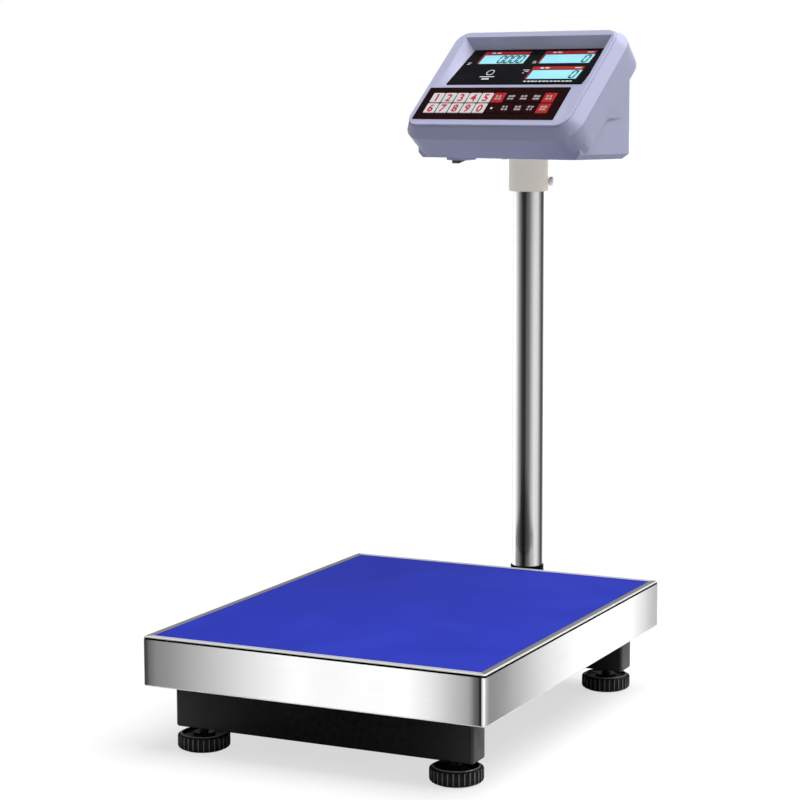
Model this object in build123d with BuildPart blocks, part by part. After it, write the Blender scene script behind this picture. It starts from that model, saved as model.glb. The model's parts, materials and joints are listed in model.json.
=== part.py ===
from build123d import *
from math import atan2, cos, degrees, hypot, radians, sin
import os

# Platform shipping scale: a weighing pan on a single load cell and a black
# tube base with screw feet, with an indicator head that swivels on a pole.
# Millimetres. Origin on the floor under the middle of the pan, +X to the
# user's right, +Y towards the pole at the back, +Z up.

os.makedirs("parts", exist_ok=True)

# Pan and top sheet
pan_width = 400.0
pan_depth = 500.0
top_height = 126.0
skirt_height = 54.0
pan_metal = 1.2
rim_width = 8.5
pan_corner = 2.5
pan_edge = 1.0
field_corner = 2.0
seam_level = 122.9
seam_height = 1.5
seam_depth = 0.6
sheet_thickness = 1.6
sheet_gap = 0.1

# Tube base
bar_length = 351.0
bar_width = 30.0
bar_height = 50.0
bar_bottom = 24.0
bar_y = 210.0
bar_wall = 1.5
bar_corner = 3.0
cap_flange = 4.0
cap_edge = 2.4
cap_plug = 10.0
cap_plug_gap = 0.2
spine_width = 60.0
spine_height = 40.0
spine_wall = 2.0

# Screw feet
foot_x = 150.0
knob_radius = 28.3
knob_bottom = 1.5
knob_top = 17.5
knob_chamfer = 1.6
dish_radius = 23.8
dish_depth = 3.0
hub_radius = 11.9
flute_count = 30
flute_radius = 2.35
flute_depth = 1.2
stud_radius = 5.0
stud_top = 60.0
stud_clearance = 0.4
thread_gap = 0.05
pad_radius = 24.0
pad_height = 4.0
spigot_radius = 6.0
spigot_height = 8.0
turning_gap = 0.3
pad_margin = 0.5

# Load cell, carrier frame and overload stops
cell_width = 40.0
cell_length = 150.0
cell_bottom = 68.0
cell_top = 104.0
cell_pad = 4.0
cell_end = 55.0
bolt_spacing = 24.0
m8_radius = 4.0
m8_clearance = 4.2
bolt_bite = 20.0
carrier_width = 390.0
carrier_depth = 490.0
carrier_top = 119.0
carrier_metal = 2.5
carrier_flange = 14.0
stop_x = 120.0
stop_y = 206.0
stop_gap = 0.8
bumper_radius = 10.0
bumper_x = 140.0
bumper_y = 190.0

# Pole and its bracket
pole_y = 322.0
pole_radius = 19.05
pole_wall = 1.2
pole_bottom = 61.0
pole_top = 655.0
collar_top = 116.0
collar_radius = 20.6
running_gap = 0.07
cable_radius = 2.5
cable_level = 46.0

# Indicator head: it stands turned a little about the pole
head_turn = -13.0
face_lean = 45.0
face_reach = 94.0
face_level = 662.0
face_width = 240.0
face_height = 160.0
face_corner = 18.0
lip_depth = 3.0
lip_step = 1.0
cover_width = 260.0
cover_height = 180.0
cover_corner = 30.0
cover_depth = 15.0
tub_depth = 50.0
tub_taper = 3.0
shell = 2.5
wedge_back = 30.0
notch_top = 8.0
notch_depth = 8.0
notch_end = 12.0
wedge_chamfer = 6.0

# Display and keypad
window_width = 201.6
window_left = -93.6
window_low = 69.5
window_high = 141.0
window_low_depth = 2.0
window_high_depth = 14.0
window_thickness = 1.5
window_gap = 0.2
lcd_height = 18.5
lcd_gap = 0.2
overlay_width = 211.0
overlay_height = 53.0
overlay_centre = (-7.3, 36.0)
overlay_thickness = 1.2
key_pitch_x = 18.7
key_pitch_y = 17.6
key_width = 17.1
key_height = 16.2
key_left = -101.6
key_row = 45.0
key_corner = 0.6
key_gap = 0.3
key_rise = 0.3
key_travel = 0.5
board_depth = 7.0
board_width = 186.0
board_thickness = 1.6

# Pole socket and clamp screw
socket_radius = 24.35
socket_bottom = 581.0
screw_level = 593.0
screw_radius = 3.0
screw_turn = 30.0

# Worked out from the sizes above
skirt_bottom = top_height - skirt_height
field_top = top_height - sheet_thickness
field_bottom = field_top - pan_metal
bar_middle = bar_bottom + bar_height / 2
bar_top = bar_bottom + bar_height
tube_half = bar_length / 2 - cap_flange
spine_top = bar_bottom + spine_height
spine_half = bar_y - bar_width / 2
carrier_bottom = carrier_top - carrier_metal
stop_top = carrier_bottom - stop_gap
foot_places = [(-foot_x, -bar_y), (foot_x, -bar_y), (-foot_x, bar_y), (foot_x, bar_y)]
stop_places = [(-stop_x, -stop_y), (stop_x, -stop_y), (-stop_x, stop_y), (stop_x, stop_y)]
window_tilt = atan2(window_high_depth - window_low_depth, window_high - window_low)
window_height = hypot(window_high_depth - window_low_depth, window_high - window_low)
window_middle = window_left + window_width / 2


def save(piece, name):
    piece.part.label = name
    export_step(piece.part, f"parts/{name}.step")


def upright_holes(places, radius, low, high):
    """Upright holes between two levels, for the builder that is open."""
    with Locations(*[(x, y, (low + high) / 2) for x, y in places]):
        Cylinder(radius, high - low, mode=Mode.SUBTRACT)


# ---------------------------------------------------------------- tube base

def bar_section(y_middle):
    """Hollow rounded section of a crossbar, drawn looking along +X."""
    with Locations((y_middle, bar_middle)):
        RectangleRounded(bar_width, bar_height, bar_corner)
        inner_corner = bar_corner - bar_wall
        inner_width = bar_width - 2 * bar_wall
        inner_height = bar_height - 2 * bar_wall
        RectangleRounded(inner_width, inner_height, inner_corner, mode=Mode.SUBTRACT)


def bar_holes(end):
    """Foot stud holes in the lower wall and stop screw holes in the upper one."""
    studs = [(-foot_x, end * bar_y), (foot_x, end * bar_y)]
    upright_holes(studs, stud_radius + stud_clearance, bar_bottom - 1, bar_bottom + bar_wall + 1)
    stops = [(-stop_x, end * stop_y), (stop_x, end * stop_y)]
    upright_holes(stops, m8_clearance, bar_top - bar_wall - 1, bar_top + 1)


with BuildPart() as front_crossbar:
    with BuildSketch(Plane.YZ.offset(-tube_half)):
        bar_section(-bar_y)
    extrude(amount=2 * tube_half)
    bar_holes(-1)
save(front_crossbar, "front_crossbar")

plate_width = 110.0
plate_height = 46.0
plate_thickness = 4.0
plate_bolts = (84.0, 30.0)
plate_middle = bar_bottom + 2 + plate_height / 2
cable_hole = 6.0
bar_back = bar_y + bar_width / 2

with BuildPart() as rear_crossbar:
    with BuildSketch(Plane.YZ.offset(-tube_half)):
        bar_section(bar_y)
    extrude(amount=2 * tube_half)
    bar_holes(1)
    with BuildSketch(Plane.XZ.offset(-bar_back - 1)):
        with Locations((0, cable_level)):
            Circle(cable_hole)
    extrude(amount=bar_width + 2, mode=Mode.SUBTRACT)
    with BuildSketch(Plane.XZ.offset(-bar_back - 1)):
        with Locations((0, plate_middle)):
            with GridLocations(*plate_bolts, 2, 2):
                Circle(m8_clearance)
    extrude(amount=bar_wall + 2, mode=Mode.SUBTRACT)
save(rear_crossbar, "rear_crossbar")

cap_inset = 2 * (bar_wall + cap_plug_gap)
cap_plug_size = (bar_width - cap_inset, bar_height - cap_inset)

with BuildPart() as crossbar_end_caps:
    with BuildSketch(Plane.YZ.offset(tube_half)):
        with Locations((-bar_y, bar_middle), (bar_y, bar_middle)):
            RectangleRounded(bar_width, bar_height, bar_corner)
    extrude(amount=cap_flange)
    fillet(crossbar_end_caps.faces().filter_by(Axis.X).group_by(Axis.X)[-1].edges(), radius=cap_edge)
    with BuildSketch(Plane.YZ.offset(tube_half)):
        with Locations((-bar_y, bar_middle), (bar_y, bar_middle)):
            RectangleRounded(*cap_plug_size, bar_corner - bar_wall)
    extrude(amount=-cap_plug)
    mirror(about=Plane.YZ)
save(crossbar_end_caps, "crossbar_end_caps")

nut_flats = 8.5
nut_height = 8.0

with BuildPart() as foot_weld_nuts:
    with BuildSketch(Plane.XY.offset(bar_bottom + bar_wall)):
        with Locations(*foot_places):
            RegularPolygon(nut_flats, 6, major_radius=False)
            Circle(stud_radius + thread_gap, mode=Mode.SUBTRACT)
    extrude(amount=nut_height)
save(foot_weld_nuts, "foot_weld_nuts")

cable_slot_y = 127.0
cable_slot = (30.0, 12.0)

with BuildPart() as spine_beam:
    with BuildSketch(Plane.XZ.offset(-spine_half)):
        with Locations((0, bar_bottom + spine_height / 2)):
            RectangleRounded(spine_width, spine_height, bar_corner)
            Rectangle(spine_width - 2 * spine_wall, spine_height - 2 * spine_wall, mode=Mode.SUBTRACT)
    extrude(amount=2 * spine_half)
    with BuildSketch(Plane.XY.offset(spine_top - spine_wall - 1)):
        with Locations((0, cell_end)):
            with GridLocations(bolt_spacing, bolt_spacing, 2, 2):
                Circle(m8_clearance)
        with Locations((0, cable_slot_y)):
            SlotOverall(*cable_slot, rotation=90)
    extrude(amount=spine_wall + 2, mode=Mode.SUBTRACT)
save(spine_beam, "spine_beam")

# ------------------------------------------------- load cell and its screws

bore_radius = 12.0
bore_spread = 17.0
pad_length = 40.0
cell_middle = (cell_bottom + cell_top) / 2

with BuildPart() as load_cell:
    with Locations((0, 0, cell_middle)):
        Box(cell_width, cell_length, cell_top - cell_bottom)
    with Locations((0, cell_end, cell_bottom - cell_pad / 2), (0, -cell_end, cell_top + cell_pad / 2)):
        Box(cell_width, pad_length, cell_pad)
    with BuildSketch(Plane.YZ.offset(-cell_width)):
        with Locations((-bore_spread, cell_middle), (bore_spread, cell_middle)):
            Circle(bore_radius)
        with Locations((0, cell_middle)):
            Rectangle(2 * bore_spread, bore_radius)
    extrude(amount=2 * cell_width, mode=Mode.SUBTRACT)
    with BuildSketch(Plane.XY.offset(cell_bottom - cell_pad)):
        with Locations((0, cell_end)):
            with GridLocations(bolt_spacing, bolt_spacing, 2, 2):
                Circle(m8_radius + thread_gap)
    extrude(amount=bolt_bite + 2, mode=Mode.SUBTRACT)
    with BuildSketch(Plane.XY.offset(cell_top + cell_pad)):
        with Locations((0, -cell_end)):
            with GridLocations(bolt_spacing, bolt_spacing, 2, 2):
                Circle(m8_radius + thread_gap)
    extrude(amount=-bolt_bite - 2, mode=Mode.SUBTRACT)
save(load_cell, "load_cell")

bolt_head_flats = 6.5
bolt_head_height = 5.3
inner_top = spine_top - spine_wall

with BuildPart() as cell_base_bolts:
    with BuildSketch(Plane.XY.offset(inner_top)):
        with Locations((0, cell_end)):
            with GridLocations(bolt_spacing, bolt_spacing, 2, 2):
                Circle(m8_radius)
    extrude(amount=spine_wall + bolt_bite)
    with BuildSketch(Plane.XY.offset(inner_top)):
        with Locations((0, cell_end)):
            with GridLocations(bolt_spacing, bolt_spacing, 2, 2):
                RegularPolygon(bolt_head_flats, 6, major_radius=False)
    extrude(amount=-bolt_head_height)
save(cell_base_bolts, "cell_base_bolts")

stop_length = 62.0

with BuildPart() as overload_stops:
    with BuildSketch(Plane.XY.offset(stop_top)):
        with Locations(*stop_places):
            RegularPolygon(bolt_head_flats, 6, major_radius=False)
    extrude(amount=-bolt_head_height)
    with BuildSketch(Plane.XY.offset(stop_top - bolt_head_height)):
        with Locations(*stop_places):
            Circle(m8_radius)
    extrude(amount=-stop_length)
    with BuildSketch(Plane.XY.offset(bar_top)):
        with Locations(*stop_places):
            RegularPolygon(bolt_head_flats, 6, major_radius=False)
    extrude(amount=bolt_head_height)
save(overload_stops, "overload_stops")

# ------------------------------------------------------------ carrier frame

rib_width = 12.0
rib_x = 95.0
rib_y = 150.0
plate_depth = 130.0
carrier_corner = 6.0
countersink_radius = 8.3
rib_bottom = cell_top + cell_pad
rib_height = carrier_bottom - rib_bottom
rib_middle = rib_bottom + rib_height / 2

with BuildPart() as carrier_frame:
    with Locations((0, 0, carrier_top - carrier_flange / 2)):
        Box(carrier_width, carrier_depth, carrier_flange)
    fillet(carrier_frame.edges().filter_by(Axis.Z), radius=carrier_corner)
    with Locations((0, 0, carrier_bottom - carrier_flange)):
        Box(
            carrier_width - 2 * carrier_metal,
            carrier_depth - 2 * carrier_metal,
            2 * carrier_flange,
            mode=Mode.SUBTRACT,
        )
    with Locations((-rib_x, 0, rib_middle), (rib_x, 0, rib_middle)):
        Box(rib_width, carrier_depth - 2 * carrier_metal, rib_height)
    with Locations((0, -rib_y, rib_middle), (0, rib_y, rib_middle)):
        Box(carrier_width - 2 * carrier_metal, rib_width, rib_height)
    with Locations((0, -cell_end, rib_middle)):
        Box(2 * rib_x, plate_depth, rib_height)
    with Locations((0, -cell_end, carrier_top)):
        with GridLocations(bolt_spacing, bolt_spacing, 2, 2):
            CounterSinkHole(m8_clearance, countersink_radius, depth=2 * carrier_flange)
save(carrier_frame, "carrier_frame")

screw_bottom = cell_top + cell_pad - bolt_bite

with BuildPart() as cell_top_screws:
    with Locations((0, -cell_end, 0)):
        with GridLocations(bolt_spacing, bolt_spacing, 2, 2):
            with Locations((0, 0, (screw_bottom + carrier_top) / 2)):
                Cylinder(m8_radius, carrier_top - screw_bottom)
            with Locations((0, 0, carrier_top - m8_radius / 2)):
                Cone(m8_radius, m8_radius * 2, m8_radius)
save(cell_top_screws, "cell_top_screws")

bumper_taper = 12.0

with BuildPart() as pan_bumpers:
    with BuildSketch(Plane.XY.offset(carrier_top)):
        with GridLocations(2 * bumper_x, 2 * bumper_y, 2, 2):
            Circle(bumper_radius)
    extrude(amount=field_bottom - carrier_top, taper=bumper_taper)
save(pan_bumpers, "pan_bumpers")

# -------------------------------------------------------- pan and top sheet

with BuildPart() as pan:
    with Locations((0, 0, skirt_bottom + skirt_height / 2)):
        Box(pan_width, pan_depth, skirt_height)
    fillet(pan.edges().filter_by(Axis.Z), radius=pan_corner)
    fillet(pan.faces().sort_by(Axis.Z)[-1].edges(), radius=pan_edge)
    with BuildSketch(Plane.XY.offset(skirt_bottom)):
        inner = (pan_width - 2 * pan_metal, pan_depth - 2 * pan_metal)
        RectangleRounded(*inner, pan_corner - pan_metal)
    extrude(amount=field_bottom - skirt_bottom, mode=Mode.SUBTRACT)
    with BuildSketch(Plane.XY.offset(field_top)):
        RectangleRounded(pan_width - 2 * rim_width, pan_depth - 2 * rim_width, field_corner)
    extrude(amount=sheet_thickness, mode=Mode.SUBTRACT)
    with BuildSketch(Plane.XY.offset(seam_level)):
        Rectangle(pan_width + 2, pan_depth + 2)
        seam_floor = (pan_width - 2 * seam_depth, pan_depth - 2 * seam_depth)
        RectangleRounded(*seam_floor, pan_corner - seam_depth, mode=Mode.SUBTRACT)
    extrude(amount=seam_height, mode=Mode.SUBTRACT)
save(pan, "pan")

sheet_inset = 2 * (rim_width + sheet_gap)

with BuildPart() as blue_top_sheet:
    with BuildSketch(Plane.XY.offset(field_top)):
        RectangleRounded(pan_width - sheet_inset, pan_depth - sheet_inset, field_corner - sheet_gap)
    extrude(amount=sheet_thickness)
save(blue_top_sheet, "blue_top_sheet")

# --------------------------------------------------------------- screw feet

for number, (x, y) in enumerate(foot_places, start=1):
    with BuildPart(Plane.XY.move(Location((x, y, 0)))) as foot_pad:
        with Locations((0, 0, pad_height / 2)):
            Cylinder(pad_radius, pad_height)
        with Locations((0, 0, spigot_height / 2)):
            Cylinder(spigot_radius, spigot_height)
    save(foot_pad, f"foot_pad_{number}")

    with BuildPart(Plane.XY.move(Location((x, y, 0)))) as foot_knob:
        with Locations((0, 0, (knob_bottom + knob_top) / 2)):
            Cylinder(knob_radius, knob_top - knob_bottom)
        chamfer(foot_knob.edges().filter_by(GeomType.CIRCLE), length=knob_chamfer)
        with Locations((0, 0, knob_top)):
            Cylinder(dish_radius, 2 * dish_depth, mode=Mode.SUBTRACT)
        with Locations((0, 0, knob_top - dish_depth / 2)):
            Cylinder(hub_radius, dish_depth)
        with PolarLocations(knob_radius + flute_radius - flute_depth, flute_count):
            with Locations((0, 0, knob_top / 2)):
                Cylinder(flute_radius, knob_top, mode=Mode.SUBTRACT)
        with Locations((0, 0, (pad_height + turning_gap) / 2)):
            Cylinder(pad_radius + pad_margin, pad_height + turning_gap, mode=Mode.SUBTRACT)
        with Locations((0, 0, (spigot_height + turning_gap) / 2)):
            Cylinder(spigot_radius + turning_gap, spigot_height + turning_gap, mode=Mode.SUBTRACT)
        with Locations((0, 0, (spigot_height + 1 + stud_top) / 2)):
            Cylinder(stud_radius, stud_top - spigot_height - 1)
    save(foot_knob, f"foot_knob_{number}")

# --------------------------------------------------------- pole and bracket

arm_width = 60.0
arm_height = 30.0
arm_end = 355.0
arm_start = bar_back + plate_thickness
arm_middle = pole_bottom - arm_height / 2
plate_corner = 4.0

with BuildPart() as pole_bracket:
    with BuildSketch(Plane.XZ.offset(-bar_back)):
        with Locations((0, plate_middle)):
            RectangleRounded(plate_width, plate_height, plate_corner)
            with GridLocations(*plate_bolts, 2, 2):
                Circle(m8_clearance, mode=Mode.SUBTRACT)
    extrude(amount=-plate_thickness)
    with BuildSketch(Plane.XZ.offset(-arm_start)):
        with Locations((0, arm_middle)):
            RectangleRounded(arm_width, arm_height, bar_corner)
    extrude(amount=-(arm_end - arm_start))
    with BuildSketch(Plane.XZ.offset(-arm_start)):
        with Locations((0, arm_middle)):
            Rectangle(arm_width - 2 * spine_wall, arm_height - 2 * spine_wall)
    extrude(amount=-(arm_end - arm_start - spine_wall), mode=Mode.SUBTRACT)
    with BuildSketch(Plane.XZ.offset(-bar_back + 1)):
        with Locations((0, cable_level)):
            Circle(cable_hole)
    extrude(amount=-plate_thickness - 2, mode=Mode.SUBTRACT)
    upright_holes([(0, pole_y)], cable_hole, pole_bottom - spine_wall - 1, pole_bottom + 1)
save(pole_bracket, "pole_bracket")

bolt_reach = 12.0

with BuildPart() as pole_bracket_bolts:
    with BuildSketch(Plane.XZ.offset(-arm_start)):
        with Locations((0, plate_middle)):
            with GridLocations(*plate_bolts, 2, 2):
                Circle(m8_radius)
    extrude(amount=plate_thickness + bolt_reach)
    with BuildSketch(Plane.XZ.offset(-arm_start)):
        with Locations((0, plate_middle)):
            with GridLocations(*plate_bolts, 2, 2):
                RegularPolygon(bolt_head_flats, 6, major_radius=False)
    extrude(amount=-bolt_head_height)
save(pole_bracket_bolts, "pole_bracket_bolts")

with BuildPart() as pole:
    with BuildSketch(Plane.XY.offset(pole_bottom)):
        with Locations((0, pole_y)):
            Circle(pole_radius)
            Circle(pole_radius - pole_wall, mode=Mode.SUBTRACT)
    extrude(amount=pole_top - pole_bottom)
save(pole, "pole")

collar_flange = 28.0
collar_foot = 4.0
collar_chamfer = 0.6

with BuildPart() as pole_collar:
    with BuildSketch(Plane.XY.offset(pole_bottom)):
        with Locations((0, pole_y)):
            Circle(collar_flange)
    extrude(amount=collar_foot)
    with BuildSketch(Plane.XY.offset(pole_bottom)):
        with Locations((0, pole_y)):
            Circle(collar_radius)
    extrude(amount=collar_top - pole_bottom)
    chamfer(pole_collar.edges().sort_by(Axis.Z)[-1], length=collar_chamfer)
    upright_holes([(0, pole_y)], pole_radius + running_gap, pole_bottom - 1, collar_top + 1)
save(pole_collar, "pole_collar")

# Lead from the load cell through the spine, the arm and the pole
cable_exit = 87.0
cable_spare = 35.0
cable_points = [
    (0, cell_length / 2, cable_exit),
    (0, 108.0, cable_exit),
    (0, 142.0, cable_level),
    (0, pole_y, cable_level),
    (0, pole_y, pole_top + cable_spare),
]
cable_bends = [16.0, 20.0, 13.0]

with BuildPart() as signal_cable:
    with BuildLine() as cable_line:
        FilletPolyline(*cable_points, radius=cable_bends)
    with BuildSketch(Plane(origin=cable_points[0], z_dir=(0, 1, 0))):
        Circle(cable_radius)
    sweep(path=cable_line.wires()[0])
save(signal_cable, "signal_cable")

# ------------------------------------------------------------ head: planes

turned = radians(head_turn)
leaned = radians(face_lean)
head_axis = Plane(origin=(0, pole_y, 0), x_dir=(cos(turned), sin(turned), 0), z_dir=(0, 0, 1))


def on_head(local_plane):
    """A plane given in the head's own axes, turned with the head about the pole."""
    return Plane(head_axis.location * local_plane.location)


face = on_head(
    Plane(
        origin=(0, -face_reach, face_level),
        x_dir=(1, 0, 0),
        z_dir=(0, -cos(leaned), sin(leaned)),
    )
)
side = on_head(Plane(origin=(0, 0, 0), x_dir=(0, 1, 0), z_dir=(1, 0, 0)))
screw_side = on_head(
    Plane(
        origin=(0, 0, 0),
        x_dir=(-sin(radians(screw_turn)), cos(radians(screw_turn)), 0),
        z_dir=(cos(radians(screw_turn)), sin(radians(screw_turn)), 0),
    )
)
back = on_head(Plane(origin=(0, wedge_back, 0), x_dir=(-1, 0, 0), z_dir=(0, 1, 0)))


def window_plane(rise=0.0):
    """Plane of the display window, sunk deeper at its upper edge."""
    depth = (window_low_depth + window_high_depth) / 2
    middle = (window_low + window_high) / 2
    tilted = Location((window_middle, middle, -depth), (-degrees(window_tilt), 0, 0))
    return Plane(face.location * tilted).offset(rise)


def side_point(up_face, off_face):
    """Side-view point, back from the pole and up, of a place measured on the face."""
    back_from_face = up_face * sin(leaned) - off_face * cos(leaned)
    level = up_face * cos(leaned) + off_face * sin(leaned)
    return (back_from_face - face_reach, level + face_level)


def face_outline(width, height, corner):
    """Rounded outline centred on the face, for the sketch that is open."""
    with Locations((0, face_height / 2)):
        RectangleRounded(width, height, corner)


# ------------------------------------------------------ head: display parts

lcd_rows = (20.5, 53.0)
lcd_left = (56.9, 68.0)
lcd_right = (151.5, 73.0)
lcd_places = [(*lcd_left, lcd_rows[0]), (*lcd_right, lcd_rows[0]), (*lcd_right, lcd_rows[1])]
lcd_depth = 6.0
lcd_sink = 0.4


def lcd_rectangles(grow):
    """The three display cut-outs, seen on the window's plane."""
    for middle, width, row in lcd_places:
        with Locations((middle - window_width / 2, window_height / 2 - row)):
            Rectangle(width + grow, lcd_height + grow)


with BuildPart() as display_window:
    with BuildSketch(window_plane()):
        Rectangle(window_width - 2 * window_gap, window_height - 2 * window_gap)
    extrude(amount=window_thickness)
    with BuildSketch(window_plane(-1)):
        lcd_rectangles(2 * lcd_gap)
    extrude(amount=window_thickness + 2, mode=Mode.SUBTRACT)
save(display_window, "display_window")

with BuildPart() as lcd_panels:
    with BuildSketch(window_plane(window_thickness - lcd_sink)):
        lcd_rectangles(0)
    extrude(amount=-lcd_depth)
save(lcd_panels, "lcd_panels")

# -------------------------------------------------------------- head: keys

key_rows = [
    ["1", "2", "3", "4", "5", "clear", "tare", "zero", "store", "add"],
    ["6", "7", "8", "9", "0", "point", "recall", "unit", "count", "total"],
]
keys = []
for row, names in enumerate(key_rows):
    for column, name in enumerate(names):
        key_x = key_left + key_width / 2 + column * key_pitch_x
        key_y = key_row - row * key_pitch_y
        keys.append((f"key_{name}", key_x, key_y))
key_places = [(x, y) for name, x, y in keys]
dome_radius = 3.0
dome_height = 0.5
stem_radius = 2.5
tile_thickness = 1.5
overlay_level = 0.6
overlay_corner = 1.0
overlay_gap = 0.2

for name, x, y in keys:
    with BuildPart() as key:
        with BuildSketch(face.offset(overlay_level + key_rise)):
            with Locations((x, y)):
                RectangleRounded(key_width, key_height, key_corner)
        extrude(amount=-tile_thickness)
        with BuildSketch(face):
            with Locations((x, y)):
                Circle(stem_radius)
        extrude(amount=-(board_depth - dome_height - key_travel))
    save(key, name)

with BuildPart() as keypad_overlay:
    with BuildSketch(face.offset(overlay_level)):
        with Locations(overlay_centre):
            RectangleRounded(overlay_width, overlay_height, overlay_corner)
        with Locations(*key_places):
            Rectangle(key_width + 2 * key_gap, key_height + 2 * key_gap, mode=Mode.SUBTRACT)
    extrude(amount=-overlay_thickness)
save(keypad_overlay, "keypad_overlay")

chip_height = 4.0
chip_size = (22.0, 14.0)
plug_size = (34.0, 8.0)
chip_places = [(-70.0, 36.0), (0.0, 40.0)]
plug_place = (60.0, 34.0)

with BuildPart() as main_board:
    with BuildSketch(face.offset(-board_depth)):
        with Locations(overlay_centre):
            Rectangle(board_width, overlay_height - 1)
    extrude(amount=-board_thickness)
    with BuildSketch(face.offset(-board_depth)):
        with Locations(*key_places):
            Circle(dome_radius)
    extrude(amount=dome_height)
    with BuildSketch(face.offset(-board_depth - board_thickness)):
        with Locations(*chip_places):
            Rectangle(*chip_size)
        with Locations(plug_place):
            Rectangle(*plug_size)
    extrude(amount=-chip_height)
save(main_board, "main_board")

# ------------------------------------------------------------ head: covers

boss_x = 110.0
boss_levels = (16.0, 154.0)
boss_radius = 5.5
boss_start = 17.0
boss_places = [(x, v) for x in (-boss_x, boss_x) for v in boss_levels]
head_bore = 4.2
screw_seat = 34.0
screw_tip = 7.0
case_screw_radius = 1.9
screw_gap = 0.2

lip_chamfer = 0.8
recess_low = 67.0
recess_high = 151.0
recess_left = -106.0
recess_right = 113.0
recess_size = (recess_right - recess_left, recess_high - recess_low)
recess_middle = ((recess_left + recess_right) / 2, (recess_low + recess_high) / 2)

with BuildPart() as front_cover:
    with BuildSketch(face.offset(-lip_depth)):
        face_outline(face_width, face_height, face_corner)
    extrude(amount=lip_depth)
    chamfer(front_cover.faces().sort_by(Axis(face.origin, face.z_dir))[-1].edges(), length=lip_chamfer)
    with BuildSketch(face.offset(-lip_depth)):
        face_outline(face_width + 2 * lip_step, face_height + 2 * lip_step, face_corner + lip_step)
    with BuildSketch(face.offset(-cover_depth)):
        face_outline(cover_width, cover_height, cover_corner)
    loft()
    with BuildSketch(face.offset(-cover_depth)):
        face_outline(cover_width - 2 * shell, cover_height - 2 * shell, cover_corner - shell)
    with BuildSketch(face.offset(-shell)):
        face_outline(face_width - 2 * shell, face_height - 2 * shell, face_corner - shell)
    loft(mode=Mode.SUBTRACT)
    with BuildSketch(face.offset(-shell / 2)):
        with Locations(recess_middle):
            Rectangle(recess_size[0] + 2 * shell, recess_size[1] + 2 * shell)
    with BuildSketch(window_plane(-shell)):
        Rectangle(window_width + 2 * shell, window_height + 2 * shell)
    loft()
    with BuildSketch(face.offset(0.01)):
        with Locations(recess_middle):
            Rectangle(*recess_size)
    with BuildSketch(window_plane()):
        Rectangle(window_width, window_height)
    loft(mode=Mode.SUBTRACT)
    with BuildSketch(window_plane(1)):
        lcd_rectangles(2 * lcd_gap)
    extrude(amount=-shell - 3, mode=Mode.SUBTRACT)
    with BuildSketch(face.offset(1)):
        with Locations(overlay_centre):
            seat = (overlay_width + 2 * overlay_gap, overlay_height + 2 * overlay_gap)
            RectangleRounded(*seat, overlay_corner + overlay_gap)
    extrude(amount=-(1 + overlay_thickness - overlay_level), mode=Mode.SUBTRACT)
    with BuildSketch(face.offset(1)):
        with Locations(*key_places):
            Rectangle(key_width + 2 * key_gap, key_height + 2 * key_gap)
    extrude(amount=-(1 + shell + 1), mode=Mode.SUBTRACT)
    with BuildSketch(face.offset(-shell)):
        with Locations(*boss_places):
            Circle(boss_radius)
    extrude(amount=-(cover_depth - shell))
    with BuildSketch(face.offset(-screw_tip + 1)):
        with Locations(*boss_places):
            Circle(case_screw_radius + screw_gap)
    extrude(amount=-cover_depth, mode=Mode.SUBTRACT)
save(front_cover, "front_cover")

tub_low = -(cover_height - face_height) / 2
tub_high = face_height - tub_low
tub_width = cover_width - 2 * tub_taper
tub_height = cover_height - 2 * tub_taper
wedge_bottom = side_point(tub_low + tub_taper, -tub_depth)[1]
tub_front_low = side_point(tub_low + tub_taper, -tub_depth)
back_up_face = (wedge_back + face_reach - tub_depth * cos(leaned)) / sin(leaned)
back_top = side_point(back_up_face, -tub_depth)


def wedge_corners(inset, deep):
    """Side-view corners of the pedestal behind the tub, reaching into the tub."""
    low_front = side_point(tub_low + tub_taper + inset * 2.4, -tub_depth)
    return [
        (low_front[0], wedge_bottom + inset),
        (wedge_back - inset, wedge_bottom + inset),
        (wedge_back - inset, back_top[1] - inset * 0.4),
        side_point(back_up_face - inset, -deep),
        side_point(tub_low + tub_taper + 10, -deep),
    ]


wedge_half = tub_width / 2
switch_middle = (-76.0, -36.0)
switch_opening = (11.8, 27.6)
bezel_size = (19.0, 35.0)
bezel_drop = 3.5
bezel_chamfer = 1.0
rocker_width = 11.0
rocker_pivot = 3.0
rocker_tilt = 8.0
rocker_pin = (1.8, 11.5)
rocker_profile = [(-12.5, -5.2), (0, -3.6), (12.5, -5.2), (12.5, 2.0), (-12.5, 2.0)]
door_size = (76.0, 76.0)
door_middle = (-78.0, 668.0)
door_corner = 3.0
door_gap = 0.3
door_tab = 1.6
door_grip = (24.0, 6.0)
tab_size = (10.0, 8.0)
tab_spread = 40.0
latch_size = (12.0, 8.0)
grip_inset = 12.0
battery_size = (66.0, 33.0)
battery_place = (78.0, 8.5)
battery_height = 90.0
battery_corner = 2.0
terminal_spread = 40.0
terminal_size = (5.0, 1.0)
terminal_height = 4.0
inlet_middle = (78.0, 650.0)
inlet_size = (30.0, 22.0)
inlet_corner = 2.0
inlet_gap = 0.3
inlet_rim = 4.0
inlet_wall = 3.0
inlet_flange = 1.5
inlet_depth = 18.0
inlet_cavity = 15.0
inlet_pin = 8.0
pin_size = (2.0, 4.0)
pin_places = [(-7.0, -2.0), (0.0, 3.0), (7.0, -2.0)]
flange_size = (72.0, 54.0)
flange_thickness = 3.5
flange_corner = 5.0
socket_chamfer = 0.8
socket_screw_ring = 30.0
socket_roof = 6.0
clamp_start = 19.4
clamp_pad_thickness = 1.5
clamp_head_start = 25.2
clamp_head_radius = 5.5
clamp_head_length = 5.3
clamp_pad_gap = 0.1
knurl_count = 16
knurl_radius = 0.9
knurl_offset = 0.5
slot_width = 1.4
slot_depth = 1.5

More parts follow.
